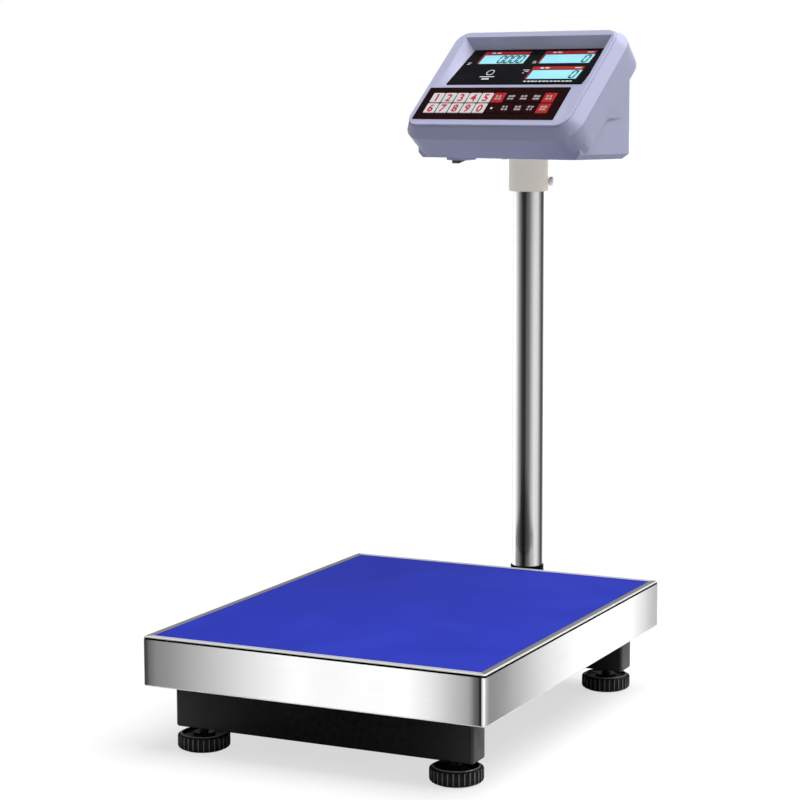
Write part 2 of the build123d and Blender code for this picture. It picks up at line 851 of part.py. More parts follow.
with BuildPart() as rear_cover:
    with BuildSketch(side.offset(-wedge_half)):
        with BuildLine():
            Polyline(*wedge_corners(0, tub_depth - 12), close=True)
        make_face()
    extrude(amount=2 * wedge_half)
    for hand in (-1, 1):
        with BuildSketch(on_head(Plane.XY.offset(wedge_bottom - 20))):
            with BuildLine():
                Polyline(
                    (hand * (wedge_half - notch_depth), tub_front_low[0] - 30),
                    (hand * (wedge_half + 5), tub_front_low[0] - 30),
                    (hand * (wedge_half + 5), wedge_back - notch_end),
                    (hand * wedge_half, wedge_back - notch_end),
                    close=True,
                )
            make_face()
        extrude(amount=face_level + notch_top - wedge_bottom + 20, mode=Mode.SUBTRACT)
    low_edges = rear_cover.faces().sort_by(Axis.Z)[0].edges()
    chamfer(low_edges.sort_by(Axis(head_axis.origin, head_axis.y_dir))[1:], length=wedge_chamfer)
    with BuildSketch(face.offset(-cover_depth)):
        face_outline(cover_width, cover_height, cover_corner)
    with BuildSketch(face.offset(-tub_depth)):
        face_outline(tub_width, tub_height, cover_corner - tub_taper)
    loft()
    with BuildSketch(face.offset(-cover_depth)):
        face_outline(cover_width - 2 * shell, cover_height - 2 * shell, cover_corner - shell)
    with BuildSketch(face.offset(-tub_depth + shell)):
        face_outline(tub_width - 2 * shell, tub_height - 2 * shell, cover_corner - tub_taper - shell)
    loft(mode=Mode.SUBTRACT)
    with BuildSketch(side.offset(-wedge_half + notch_depth + shell)):
        with BuildLine():
            Polyline(*wedge_corners(shell, tub_depth - 8), close=True)
        make_face()
    extrude(amount=2 * (wedge_half - notch_depth - shell), mode=Mode.SUBTRACT)
    with BuildSketch(face.offset(-boss_start)):
        with Locations(*boss_places):
            Circle(boss_radius)
    extrude(amount=-(tub_depth - boss_start - shell / 2))
    with BuildSketch(face.offset(-tub_depth + shell)):
        with Locations((-boss_x, boss_levels[0]), (boss_x, boss_levels[0])):
            Circle(boss_radius)
    extrude(amount=-30)
    with BuildSketch(on_head(Plane.XY.offset(wedge_bottom))):
        Rectangle(cover_width, cover_width)
    extrude(amount=-30, mode=Mode.SUBTRACT)
    with BuildSketch(face.offset(-screw_seat)):
        with Locations(*boss_places):
            Circle(head_bore)
    extrude(amount=-tub_depth, mode=Mode.SUBTRACT)
    with BuildSketch(face.offset(-boss_start + 1)):
        with Locations(*boss_places):
            Circle(case_screw_radius + screw_gap)
    extrude(amount=-tub_depth, mode=Mode.SUBTRACT)
    with BuildSketch(on_head(Plane.XY.offset(wedge_bottom + shell))):
        with Locations(switch_middle):
            Rectangle(*bezel_size)
    extrude(amount=-shell - bezel_drop)
    chamfer(rear_cover.faces().sort_by(Axis.Z)[0].edges(), length=bezel_chamfer)
    with BuildSketch(on_head(Plane.XY.offset(wedge_bottom + shell + 1))):
        with Locations(switch_middle):
            Rectangle(*switch_opening)
        Circle(socket_radius + screw_gap)
        with PolarLocations(socket_screw_ring, 4, start_angle=45):
            Circle(case_screw_radius + screw_gap)
    extrude(amount=-shell - bezel_drop - 2, mode=Mode.SUBTRACT)
    with BuildSketch(back.offset(1)):
        with Locations(door_middle):
            RectangleRounded(*door_size, door_corner)
        with Locations(inlet_middle):
            RectangleRounded(*inlet_size, inlet_corner)
    extrude(amount=-shell - 2, mode=Mode.SUBTRACT)
save(rear_cover, "rear_cover")

# ------------------------------------------------- head: pieces in the tub

screw_head_radius = 3.6
screw_head_height = 2.2

with BuildPart() as head_screws:
    with BuildSketch(face.offset(-screw_seat)):
        with Locations(*boss_places):
            Circle(case_screw_radius)
    extrude(amount=screw_seat - screw_tip)
    with BuildSketch(face.offset(-screw_seat)):
        with Locations(*boss_places):
            Circle(screw_head_radius)
    extrude(amount=-screw_head_height)
    with BuildSketch(on_head(Plane.XY.offset(wedge_bottom))):
        with PolarLocations(socket_screw_ring, 4, start_angle=45):
            Circle(case_screw_radius)
    extrude(amount=shell + flange_thickness)
    with BuildSketch(on_head(Plane.XY.offset(wedge_bottom))):
        with PolarLocations(socket_screw_ring, 4, start_angle=45):
            Circle(screw_head_radius)
    extrude(amount=-screw_head_height)
save(head_screws, "head_screws")

with BuildPart() as battery:
    with BuildSketch(on_head(Plane.XY.offset(wedge_bottom + shell))):
        with Locations(battery_place):
            RectangleRounded(*battery_size, battery_corner)
    extrude(amount=battery_height)
    with BuildSketch(on_head(Plane.XY.offset(wedge_bottom + shell + battery_height))):
        with Locations(battery_place):
            with GridLocations(terminal_spread, 1, 2, 1):
                Rectangle(*terminal_size)
    extrude(amount=terminal_height)
save(battery, "battery")

with BuildPart() as battery_door:
    with BuildSketch(back):
        with Locations(door_middle):
            door_outline = (door_size[0] - 2 * door_gap, door_size[1] - 2 * door_gap)
            RectangleRounded(*door_outline, door_corner - door_gap)
    extrude(amount=-shell)
    with BuildSketch(back.offset(-shell)):
        with Locations((door_middle[0], door_middle[1] - door_size[1] / 2 + 1)):
            with GridLocations(tab_spread, 1, 2, 1):
                Rectangle(*tab_size)
        with Locations((door_middle[0], door_middle[1] + door_size[1] / 2 - 1)):
            Rectangle(*latch_size)
    extrude(amount=-door_tab)
    with BuildSketch(back.offset(1)):
        with Locations((door_middle[0], door_middle[1] - door_size[1] / 2 + grip_inset)):
            SlotOverall(*door_grip)
    extrude(amount=-2, mode=Mode.SUBTRACT)
save(battery_door, "battery_door")

with BuildPart() as power_inlet:
    with BuildSketch(back):
        with Locations(inlet_middle):
            rim = (inlet_size[0] + 2 * inlet_rim, inlet_size[1] + 2 * inlet_rim)
            RectangleRounded(*rim, inlet_corner + 1)
    extrude(amount=inlet_flange)
    with BuildSketch(back):
        with Locations(inlet_middle):
            body = (inlet_size[0] - 2 * inlet_gap, inlet_size[1] - 2 * inlet_gap)
            RectangleRounded(*body, inlet_corner - inlet_gap)
    extrude(amount=-inlet_depth)
    with BuildSketch(back.offset(inlet_flange)):
        with Locations(inlet_middle):
            cavity = (inlet_size[0] - 2 * inlet_wall, inlet_size[1] - 2 * inlet_wall)
            RectangleRounded(*cavity, inlet_corner + 1)
    extrude(amount=-inlet_cavity - inlet_flange, mode=Mode.SUBTRACT)
    with BuildSketch(back.offset(-inlet_cavity - 1)):
        with Locations(inlet_middle):
            with Locations(*pin_places):
                Rectangle(*pin_size)
    extrude(amount=inlet_pin + 1)
save(power_inlet, "power_inlet")

# --------------------------------------------- head: socket, clamp, rocker

with BuildPart() as head_socket:
    with BuildSketch(on_head(Plane.XY.offset(socket_bottom))):
        Circle(socket_radius)
    extrude(amount=pole_top + socket_roof - socket_bottom)
    chamfer(head_socket.edges().sort_by(Axis.Z)[0], length=socket_chamfer)
    with BuildSketch(on_head(Plane.XY.offset(wedge_bottom + shell))):
        RectangleRounded(*flange_size, flange_corner)
        with PolarLocations(socket_screw_ring, 4, start_angle=45):
            Circle(case_screw_radius + screw_gap, mode=Mode.SUBTRACT)
    extrude(amount=flange_thickness)
    with BuildSketch(on_head(Plane.XY.offset(socket_bottom - 1))):
        Circle(pole_radius + running_gap)
    extrude(amount=pole_top - socket_bottom + 1, mode=Mode.SUBTRACT)
    with BuildSketch(on_head(Plane.XY.offset(pole_top - 1))):
        Circle(cable_hole)
    extrude(amount=socket_roof + 2, mode=Mode.SUBTRACT)
    with BuildSketch(screw_side):
        with Locations((0, screw_level)):
            Circle(screw_radius + thread_gap)
    extrude(amount=socket_radius + 2, mode=Mode.SUBTRACT)
save(head_socket, "head_socket")

with BuildPart() as clamp_pad:
    with BuildSketch(screw_side.offset(clamp_start)):
        with Locations((0, screw_level)):
            Circle(screw_radius - clamp_pad_gap)
    extrude(amount=clamp_pad_thickness)
save(clamp_pad, "clamp_pad")

with BuildPart() as clamp_screw:
    with BuildSketch(screw_side.offset(clamp_start + clamp_pad_thickness)):
        with Locations((0, screw_level)):
            Circle(screw_radius)
    extrude(amount=clamp_head_start - clamp_start)
    with BuildSketch(screw_side.offset(clamp_head_start)):
        with Locations((0, screw_level)):
            Circle(clamp_head_radius)
            with PolarLocations(clamp_head_radius + knurl_offset, knurl_count):
                Circle(knurl_radius, mode=Mode.SUBTRACT)
    extrude(amount=clamp_head_length)
    with BuildSketch(screw_side.offset(clamp_head_start + clamp_head_length)):
        with Locations((0, screw_level)):
            Rectangle(2 * clamp_head_radius, slot_width)
    extrude(amount=-slot_depth, mode=Mode.SUBTRACT)
save(clamp_screw, "clamp_screw")

pivot = Location((switch_middle[1], wedge_bottom - bezel_drop + rocker_pivot), rocker_tilt)

with BuildPart() as power_rocker:
    with BuildSketch(side.offset(switch_middle[0] - rocker_width / 2)):
        with Locations(pivot):
            Polygon(*rocker_profile, align=None)
    extrude(amount=rocker_width)
    with BuildSketch(side.offset(switch_middle[0] - rocker_pin[1] / 2)):
        with Locations(pivot):
            Circle(rocker_pin[0])
    extrude(amount=rocker_pin[1])
save(power_rocker, "power_rocker")
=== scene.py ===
import json
import math
import bmesh
import bpy
import numpy as np
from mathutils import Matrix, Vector


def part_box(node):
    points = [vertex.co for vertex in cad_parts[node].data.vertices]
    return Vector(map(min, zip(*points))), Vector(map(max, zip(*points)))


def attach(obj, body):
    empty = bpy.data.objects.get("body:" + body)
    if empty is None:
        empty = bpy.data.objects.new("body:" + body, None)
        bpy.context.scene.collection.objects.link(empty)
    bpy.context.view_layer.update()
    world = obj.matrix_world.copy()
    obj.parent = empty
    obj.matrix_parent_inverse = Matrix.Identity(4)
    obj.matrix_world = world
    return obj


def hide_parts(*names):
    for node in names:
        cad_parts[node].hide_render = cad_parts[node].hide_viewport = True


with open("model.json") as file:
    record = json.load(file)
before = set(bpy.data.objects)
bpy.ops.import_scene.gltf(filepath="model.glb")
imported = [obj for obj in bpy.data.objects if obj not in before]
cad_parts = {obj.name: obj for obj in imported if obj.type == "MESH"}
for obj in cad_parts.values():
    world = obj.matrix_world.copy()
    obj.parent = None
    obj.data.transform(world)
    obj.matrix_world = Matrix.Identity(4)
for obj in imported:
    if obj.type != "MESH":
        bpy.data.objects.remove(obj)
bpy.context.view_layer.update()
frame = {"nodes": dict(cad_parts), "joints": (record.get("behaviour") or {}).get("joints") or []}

joints = {joint["name"]: joint for joint in frame["joints"]}
nodes = frame["nodes"]

# The head stands turned about the pole, and its face leans back by faceLean.
headSizes = {
    "faceReach": 0.094,      # pole axis to the lower edge of the face
    "faceLevel": 0.662,      # height of that edge
    "faceLean": 45.0,        # degrees back from upright
    "windowMiddle": (0.0072, 0.10525, -0.008),
    "windowTilt": math.atan2(12.0, 71.5),
    "windowSize": (0.2016, 0.0725),
    "windowThickness": 0.0015,
}
acrossHead = np.array(joints["power_switch"]["axis"], float)
upright = np.array([0.0, 0.0, 1.0])
backHead = np.cross(upright, acrossHead)
poleFoot = np.array([*joints["head_swivel"]["pos_m"][:2], 0.0])
lean = math.radians(headSizes["faceLean"])
faceUp = backHead * math.sin(lean) + upright * math.cos(lean)
faceOut = -backHead * math.cos(lean) + upright * math.sin(lean)
faceLow = poleFoot - backHead * headSizes["faceReach"] + upright * headSizes["faceLevel"]
tilt = headSizes["windowTilt"]
windowUp = faceUp * math.cos(tilt) - faceOut * math.sin(tilt)
windowOut = faceUp * math.sin(tilt) + faceOut * math.cos(tilt)


def onFace(points):    # row place = faceLow + u * across + v * up the face + w * outwards
    points = np.asarray(points, float)
    return faceLow + points[..., :1] * acrossHead + points[..., 1:2] * faceUp + points[..., 2:] * faceOut


windowCentre = onFace(headSizes["windowMiddle"])


def onWindow(points):    # the same for the sunk display window, from its centre
    points = np.asarray(points, float)
    place = windowCentre + points[..., :1] * acrossHead + points[..., 1:2] * windowUp
    return place + points[..., 2:] * windowOut


def onHead(points):    # row place = pole axis + x * across + y * back + z * up
    points = np.asarray(points, float)
    return poleFoot + points[..., :1] * acrossHead + points[..., 1:2] * backHead + points[..., 2:] * upright


def gridPatch(points, slot=0, wrap=True, capStart=False, capEnd=False):
    # rows of points joined into quads; wrap closes each row on itself, caps fill the first and last;
    # slot is one material number, or one for each band between two rows
    rows, columns = points.shape[:2]
    index = np.arange(rows * columns).reshape(rows, columns)
    here = index if wrap else index[:, :-1]
    beside = np.roll(index, -1, axis=1) if wrap else index[:, 1:]
    quads = np.stack([here[:-1], beside[:-1], beside[1:], here[1:]], axis=-1)
    bands = np.broadcast_to(np.atleast_1d(slot), rows - 1)
    slots = np.repeat(bands, quads.shape[1]).tolist()
    faces = quads.reshape(-1, 4).tolist()
    if capStart:
        faces.append(index[0][::-1].tolist())
        slots.append(int(bands[0]))
    if capEnd:
        faces.append(index[-1].tolist())
        slots.append(int(bands[-1]))
    return points.reshape(-1, 3), faces, slots


def makePiece(name, patches, materials, body, replaced=(), sharpAngle=32.0):
    # patches of points and faces joined into one mesh, turned to face outwards
    points = np.concatenate([patch[0] for patch in patches])
    faces, slots, start = [], [], 0
    for patchPoints, patchFaces, patchSlots in patches:
        faces += [[corner + start for corner in face] for face in patchFaces]
        slots += patchSlots
        start += len(patchPoints)
    mesh = bpy.data.meshes.new(name)
    mesh.from_pydata(points.tolist(), [], faces)
    mesh.polygons.foreach_set("material_index", slots)
    for material in materials:
        mesh.materials.append(material)
    return finishPiece(name, mesh, body, replaced, sharpAngle)


def finishPiece(name, mesh, body, replaced=(), sharpAngle=32.0):
    # outward faces, smooth shading with sharp edges past an angle, and the CAD body it rides on
    work = bmesh.new()
    work.from_mesh(mesh)
    bmesh.ops.recalc_face_normals(work, faces=work.faces)
    work.to_mesh(mesh)
    work.free()
    mesh.polygons.foreach_set("use_smooth", [True] * len(mesh.polygons))
    mesh.set_sharp_from_angle(angle=math.radians(sharpAngle))
    piece = bpy.data.objects.new(name, mesh)
    bpy.context.scene.collection.objects.link(piece)
    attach(piece, body)
    if replaced:
        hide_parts(*replaced)
    return piece


def bevelledCopy(name, node, material, body, width, segments=3):
    # the CAD piece's own shape with its loose triangles merged and its edges rounded
    mesh = nodes[node].data.copy()
    mesh.name = name
    work = bmesh.new()
    work.from_mesh(mesh)
    bmesh.ops.remove_doubles(work, verts=work.verts, dist=2e-6)
    bmesh.ops.dissolve_limit(work, angle_limit=math.radians(1.0), verts=work.verts, edges=work.edges)
    work.to_mesh(mesh)
    work.free()
    mesh.materials.clear()
    mesh.materials.append(material)
    piece = finishPiece(name, mesh, body, (node,))
    bevel = piece.modifiers.new("roundedEdges", "BEVEL")
    bevel.width = width
    bevel.segments = segments
    bevel.limit_method = "ANGLE"
    bevel.angle_limit = math.radians(28)
    bevel.harden_normals = True
    return piece


def cornerRing(width, height, corner, steps=8):
    # anticlockwise rounded rectangle: each corner is an arc of steps + 1 points
    corner = max(min(corner, width / 2 - 1e-6, height / 2 - 1e-6), 1e-6)
    quarter = np.linspace(0, math.pi / 2, steps + 1)
    turns = np.concatenate([quarter + k * math.pi / 2 for k in range(4)])
    signs = np.repeat(np.array([[1, 1], [-1, 1], [-1, -1], [1, -1]]), steps + 1, axis=0)
    middles = signs * np.array([width / 2 - corner, height / 2 - corner])
    return middles + corner * np.stack([np.cos(turns), np.sin(turns)], axis=1)


def slabPatch(place, width, height, corner, low, high, edge, slot=0, middle=(0, 0), steps=5):
    # flat plate: rounded outline with its upper edge turned in by a quarter circle of radius edge
    bend = np.linspace(0, math.pi / 2, 4)
    insets = np.concatenate([[edge * 0.4, 0], edge * (1 - np.cos(bend))])
    levels = np.concatenate([[low, low + edge * 0.4], high - edge * (1 - np.sin(bend))])
    rings = []
    for inset, level in zip(insets, levels):
        flat = cornerRing(width - 2 * inset, height - 2 * inset, corner - inset, steps) + np.array(middle)
        rings.append(np.column_stack([flat, np.full(len(flat), level)]))
    return gridPatch(place(np.array(rings)), slot, True, True, True)


def latheRings(profile, centre, across, along, count=64, wave=None):
    # turns (radius, distance) pairs about an axis; wave(angle, radius) may change the radius
    angle = np.linspace(0, 2 * math.pi, count, endpoint=False)
    across = np.asarray(across, float)
    along = np.asarray(along, float)
    sideways = np.cross(along, across)
    spokes = np.cos(angle)[:, None] * across + np.sin(angle)[:, None] * sideways
    rings = []
    for radius, distance in profile:
        reach = wave(angle, radius, distance) if wave else np.full(count, radius)
        rings.append(np.asarray(centre) + spokes * reach[:, None] + along * distance)
    return np.array(rings)


def newGroup(name, inputs, outputs):
    group = bpy.data.node_groups.new(name, "ShaderNodeTree")
    for socketName, kind, value in inputs:
        socket = group.interface.new_socket(name=socketName, in_out="INPUT", socket_type=kind)
        if value is not None:
            socket.default_value = value
    for socketName, kind in outputs:
        group.interface.new_socket(name=socketName, in_out="OUTPUT", socket_type=kind)
    return group, group.nodes.new("NodeGroupInput"), group.nodes.new("NodeGroupOutput")


def mathNode(tree, operation, first, second=None, clamp=False):
    node = tree.nodes.new("ShaderNodeMath")
    node.operation = operation
    node.use_clamp = clamp
    for socket, value in zip(node.inputs, (first, second)):
        if value is None:
            continue
        if isinstance(value, (int, float)):
            socket.default_value = value
        else:
            tree.links.new(value, socket)
    return node.outputs[0]


def grainGroup():    # moulding grain: two sizes of noise, one for the bump and one for the gloss
    group, given, result = newGroup(
        "mouldGrain",
        [("Vector", "NodeSocketVector", None), ("Scale", "NodeSocketFloat", 900.0)],
        [("Height", "NodeSocketFloat"), ("Mottle", "NodeSocketFloat")],
    )
    fine = group.nodes.new("ShaderNodeTexNoise")
    fine.inputs["Detail"].default_value = 3.0
    coarse = group.nodes.new("ShaderNodeTexNoise")
    coarse.inputs["Detail"].default_value = 4.0
    group.links.new(given.outputs["Vector"], fine.inputs["Vector"])
    group.links.new(given.outputs["Scale"], fine.inputs["Scale"])
    group.links.new(given.outputs["Vector"], coarse.inputs["Vector"])
    slow = mathNode(group, "MULTIPLY", given.outputs["Scale"], 0.03)
    group.links.new(slow, coarse.inputs["Scale"])
    group.links.new(fine.outputs["Fac"], result.inputs["Height"])
    group.links.new(coarse.outputs["Fac"], result.inputs["Mottle"])
    return group


def brushGroup():    # brushed lines: noise squeezed along one axis, so that it is long along the others
    group, given, result = newGroup(
        "brushLines",
        [("Vector", "NodeSocketVector", None), ("Stretch", "NodeSocketVector", (4.0, 4.0, 900.0))],
        [("Height", "NodeSocketFloat"), ("Streak", "NodeSocketFloat")],
    )
    scaled = group.nodes.new("ShaderNodeVectorMath")
    scaled.operation = "MULTIPLY"
    group.links.new(given.outputs["Vector"], scaled.inputs[0])
    group.links.new(given.outputs["Stretch"], scaled.inputs[1])
    lines = group.nodes.new("ShaderNodeTexNoise")
    lines.inputs["Scale"].default_value = 1.0
    lines.inputs["Detail"].default_value = 5.0
    lines.inputs["Roughness"].default_value = 0.7
    group.links.new(scaled.outputs[0], lines.inputs["Vector"])
    streak = mathNode(group, "SUBTRACT", lines.outputs["Fac"], 0.5)
    group.links.new(lines.outputs["Fac"], result.inputs["Height"])
    group.links.new(streak, result.inputs["Streak"])
    return group


def wearGroup():    # rubbed edges: pointiness past a threshold, broken up by noise
    group, given, result = newGroup(
        "edgeRub",
        [("Vector", "NodeSocketVector", None), ("Amount", "NodeSocketFloat", 0.5)],
        [("Mask", "NodeSocketFloat")],
    )
    geometry = group.nodes.new("ShaderNodeNewGeometry")
    sharp = group.nodes.new("ShaderNodeMapRange")
    sharp.inputs["From Min"].default_value = 0.53
    sharp.inputs["From Max"].default_value = 0.62
    group.links.new(geometry.outputs["Pointiness"], sharp.inputs["Value"])
    broken = group.nodes.new("ShaderNodeTexNoise")
    broken.inputs["Scale"].default_value = 160.0
    broken.inputs["Detail"].default_value = 4.0
    group.links.new(given.outputs["Vector"], broken.inputs["Vector"])
    mask = mathNode(group, "MULTIPLY", sharp.outputs["Result"], broken.outputs["Fac"])
    scaled = mathNode(group, "MULTIPLY", mask, given.outputs["Amount"], clamp=True)
    group.links.new(scaled, result.inputs["Mask"])
    return group


def smudgeGroup():    # handling marks: slow warped noise that dulls a gloss finish in places
    group, given, result = newGroup(
        "handSmudge",
        [("Vector", "NodeSocketVector", None), ("Scale", "NodeSocketFloat", 14.0)],
        [("Mask", "NodeSocketFloat")],
    )
    cloud = group.nodes.new("ShaderNodeTexNoise")
    cloud.inputs["Detail"].default_value = 5.0
    cloud.inputs["Distortion"].default_value = 1.2
    group.links.new(given.outputs["Vector"], cloud.inputs["Vector"])
    group.links.new(given.outputs["Scale"], cloud.inputs["Scale"])
    soft = group.nodes.new("ShaderNodeMapRange")
    soft.inputs["From Min"].default_value = 0.42
    soft.inputs["From Max"].default_value = 0.7
    group.links.new(cloud.outputs["Fac"], soft.inputs["Value"])
    group.links.new(soft.outputs["Result"], result.inputs["Mask"])
    return group


groups = {"grain": grainGroup(), "brush": brushGroup(), "wear": wearGroup(), "smudge": smudgeGroup()}


def startMaterial(name, roughness=0.5, metallic=0.0):
    material = bpy.data.materials.new(name)
    material.use_nodes = True
    tree = material.node_tree
    shader = tree.nodes["Principled BSDF"]
    shader.inputs["Roughness"].default_value = roughness
    shader.inputs["Metallic"].default_value = metallic
    place = tree.nodes.new("ShaderNodeTexCoord").outputs["Object"]
    return material, tree, shader, place


def useGroup(tree, kind, place, **values):
    node = tree.nodes.new("ShaderNodeGroup")
    node.node_tree = groups[kind]
    tree.links.new(place, node.inputs["Vector"])
    for socket, value in values.items():
        node.inputs[socket].default_value = value
    return node.outputs


def mixColour(tree, mask, first, second, blend="MIX"):
    mix = tree.nodes.new("ShaderNodeMix")
    mix.data_type = "RGBA"
    mix.blend_type = blend
    for socket, value in ((mix.inputs[0], mask), (mix.inputs[6], first), (mix.inputs[7], second)):
        if isinstance(value, (int, float)):
            socket.default_value = value
        elif isinstance(value, tuple):
            socket.default_value = (*value, 1.0)
        else:
            tree.links.new(value, socket)
    return mix.outputs[2]


def bumpFrom(tree, shader, height, strength, distance):
    bump = tree.nodes.new("ShaderNodeBump")
    bump.inputs["Strength"].default_value = strength
    bump.inputs["Distance"].default_value = distance
    tree.links.new(height, bump.inputs["Height"])
    tree.links.new(bump.outputs["Normal"], shader.inputs["Normal"])


def rangeOf(tree, value, low, high, fromLow=0.0, fromHigh=1.0):
    spread = tree.nodes.new("ShaderNodeMapRange")
    spread.inputs["From Min"].default_value = fromLow
    spread.inputs["From Max"].default_value = fromHigh
    spread.inputs["To Min"].default_value = low
    spread.inputs["To Max"].default_value = high
    tree.links.new(value, spread.inputs["Value"])
    return spread.outputs["Result"]


def rampOf(tree, value, stops):
    ramp = tree.nodes.new("ShaderNodeValToRGB")
    elements = ramp.color_ramp.elements
    while len(elements) > 1:
        elements.remove(elements[-1])
    for number, (position, tone) in enumerate(stops):
        element = elements[0] if number == 0 else elements.new(position)
        element.position = position
        element.color = (*tone, 1.0) if isinstance(tone, tuple) else (tone, tone, tone, 1.0)
    tree.links.new(value, ramp.inputs["Fac"])
    return ramp.outputs["Color"]


def mouldedPlastic(name, colour, rubbed, roughness=0.42, grain=1100.0, bump=0.06, dark=0.9, specular=0.4):
    # satin moulding: grain in the bump, cloudy tone, paler where edges are rubbed
    material, tree, shader, place = startMaterial(name, roughness)
    shader.inputs["Specular IOR Level"].default_value = specular
    grainOut = useGroup(tree, "grain", place, Scale=grain)
    wear = useGroup(tree, "wear", place, Amount=0.55)
    shade = tuple(c * dark for c in colour)
    body = mixColour(tree, grainOut["Mottle"], shade, colour)
    tree.links.new(mixColour(tree, wear["Mask"], body, rubbed), shader.inputs["Base Color"])
    tree.links.new(rangeOf(tree, grainOut["Mottle"], roughness - 0.06, roughness + 0.08),
                   shader.inputs["Roughness"])
    bumpFrom(tree, shader, grainOut["Height"], bump, 0.0006)
    return material


# painted sheen and shade across the base's width: paler towards its ends, darkest near the middle
paintedSheenAlongBase = [(0.0, 0.11), (0.12, 0.052), (0.26, 0.015), (0.4, 0.001), (0.6, 0.0005), (0.8, 0.01),
             (0.9, 0.03),
             (1.0, 0.075)]


def creamPlastic():
    # the moulded finish, with an emission of its own colour that lifts it out of the head's shadow
    material = mouldedPlastic("creamSocket", (0.86, 0.81, 0.69), (0.92, 0.89, 0.8), 0.36, 900.0, 0.04)
    shader = material.node_tree.nodes["Principled BSDF"]
    shader.inputs["Emission Color"].default_value = (0.86, 0.81, 0.69, 1)
    shader.inputs["Emission Strength"].default_value = 0.3
    return material


def powderPaint(name):
    # black powder coat: a painted sheen, paler towards the ends of the base, orange-peel bump, grey along
    # rubbed edges
    material, tree, shader, place = startMaterial(name, 0.36)
    shader.inputs["Specular IOR Level"].default_value = 0.015
    grainOut = useGroup(tree, "grain", place, Scale=520.0)
    wear = useGroup(tree, "wear", place, Amount=0.12)
    smudge = useGroup(tree, "smudge", place, Scale=9.0)
    split = tree.nodes.new("ShaderNodeSeparateXYZ")
    tree.links.new(place, split.inputs[0])
    # the painted sheen is read from X across the base
    along = rangeOf(tree, split.outputs["X"], 0.0, 1.0, -0.176, 0.176)
    body = mixColour(tree, 1.0, rampOf(tree, along, paintedSheenAlongBase),
                     rangeOf(tree, smudge["Mask"], 0.96, 1.06), "MULTIPLY")
    tree.links.new(mixColour(tree, wear["Mask"], body, (0.2, 0.2, 0.2)), shader.inputs["Base Color"])
    tree.links.new(rangeOf(tree, smudge["Mask"], 0.3, 0.5), shader.inputs["Roughness"])
    bumpFrom(tree, shader, grainOut["Height"], 0.12, 0.0008)
    return material


# painted reflection bands for the pan's front, back and sides, painted shade on the rim's top, and the
# steel's roughness
panPaintedReflectionAndGloss = {
    "front": [(0.0, 0.045), (0.012, 0.06), (0.02, 0.14), (0.04, 0.22), (0.08, 0.27), (0.15, 0.39),
              (0.25, 0.57),
              (0.35, 0.76), (0.45, 0.93), (0.78, 0.97), (0.85, 0.75), (0.9, 0.54), (0.93, 0.43),
              (0.955, 0.35),
              (0.972, 0.12), (0.983, 0.08), (0.985, 0.003), (0.9915, 0.003), (0.9925, 0.9), (1.0, 1.0)],
    "side": [(0.0, 1.0), (0.0008, 0.9), (0.0016, 0.42), (0.02, 0.2), (0.05, 0.22), (0.1, 0.29), (0.2, 0.48),
             (0.35, 0.74), (0.5, 0.95), (0.8, 0.97), (0.9, 0.66), (0.96, 0.44), (1.0, 0.36)],
    "rimSides": 0.22,
    "rimEnds": 0.62,
    "roughness": 0.3,
}


def panSteel():
    # brushed stainless: lines run along each side of the pan, under a painted reflection whose tone
    # darkens to painted shade towards the folds; front and back read X, the two sides read Y
    material, tree, shader, place = startMaterial("panSteel", panPaintedReflectionAndGloss["roughness"], 1.0)
    split = tree.nodes.new("ShaderNodeSeparateXYZ")
    tree.links.new(place, split.inputs[0])
    low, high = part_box("pan")
    facing = tree.nodes.new("ShaderNodeSeparateXYZ")
    tree.links.new(tree.nodes["Texture Coordinate"].outputs["Normal"], facing.inputs[0])
    sideways = mathNode(tree, "GREATER_THAN", mathNode(tree, "ABSOLUTE", facing.outputs["X"]), 0.7)
    flat = mathNode(tree, "GREATER_THAN", facing.outputs["Z"], 0.6)
    fromSides = mathNode(tree, "SUBTRACT", high.x, mathNode(tree, "ABSOLUTE", split.outputs["X"]))
    fromEnds = mathNode(tree, "SUBTRACT", high.y, mathNode(tree, "ABSOLUTE", split.outputs["Y"]))
    mitre = mathNode(tree, "LESS_THAN", fromEnds, fromSides)
    # painted shade: the rim's flat top is darker on the two sides than at the ends
    rim = rangeOf(tree, mitre, panPaintedReflectionAndGloss["rimSides"], panPaintedReflectionAndGloss["rimEnds"])
    alongX = rangeOf(tree, split.outputs["X"], 0.0, 1.0, low.x, high.x)
    alongY = rangeOf(tree, split.outputs["Y"], 0.0, 1.0, low.y, high.y)
    tone = mixColour(tree, sideways, rampOf(tree, alongX, panPaintedReflectionAndGloss["front"]),
                     rampOf(tree, alongY, panPaintedReflectionAndGloss["side"]))
    tone = mixColour(tree, flat, tone, rim)
    tree.links.new(rangeOf(tree, flat, 1.0, 0.25), shader.inputs["Metallic"])
    lines = useGroup(tree, "brush", place, Stretch=(3.0, 3.0, 2600.0))
    smudge = useGroup(tree, "smudge", place, Scale=7.0)
    streaks = rangeOf(tree, lines["Streak"], 0.9, 1.05, -0.3, 0.3)
    toned = mixColour(tree, 1.0, tone, streaks, "MULTIPLY")
    tree.links.new(toned, shader.inputs["Base Color"])
    rough = mathNode(tree, "ADD", rangeOf(tree, lines["Height"], 0.22, 0.4),
                     mathNode(tree, "MULTIPLY", smudge["Mask"], 0.08))
    tree.links.new(rough, shader.inputs["Roughness"])
    bumpFrom(tree, shader, lines["Height"], 0.05, 0.0002)
    return material


# painted reflection: light and dark bands round the pole, by the share of a half turn
polePaintedReflection = [(0.0, 0.1), (0.03, 0.38), (0.06, 0.66), (0.1, 0.6), (0.135, 0.22), (0.155, 0.04), (0.17, 0.001),
            (0.225, 0.001), (0.245, 0.06), (0.27, 0.34), (0.295, 0.9), (0.335, 1.0), (0.365, 0.68),
            (0.4, 0.26),
            (0.43, 0.05), (0.46, 0.015), (0.5, 0.16)]


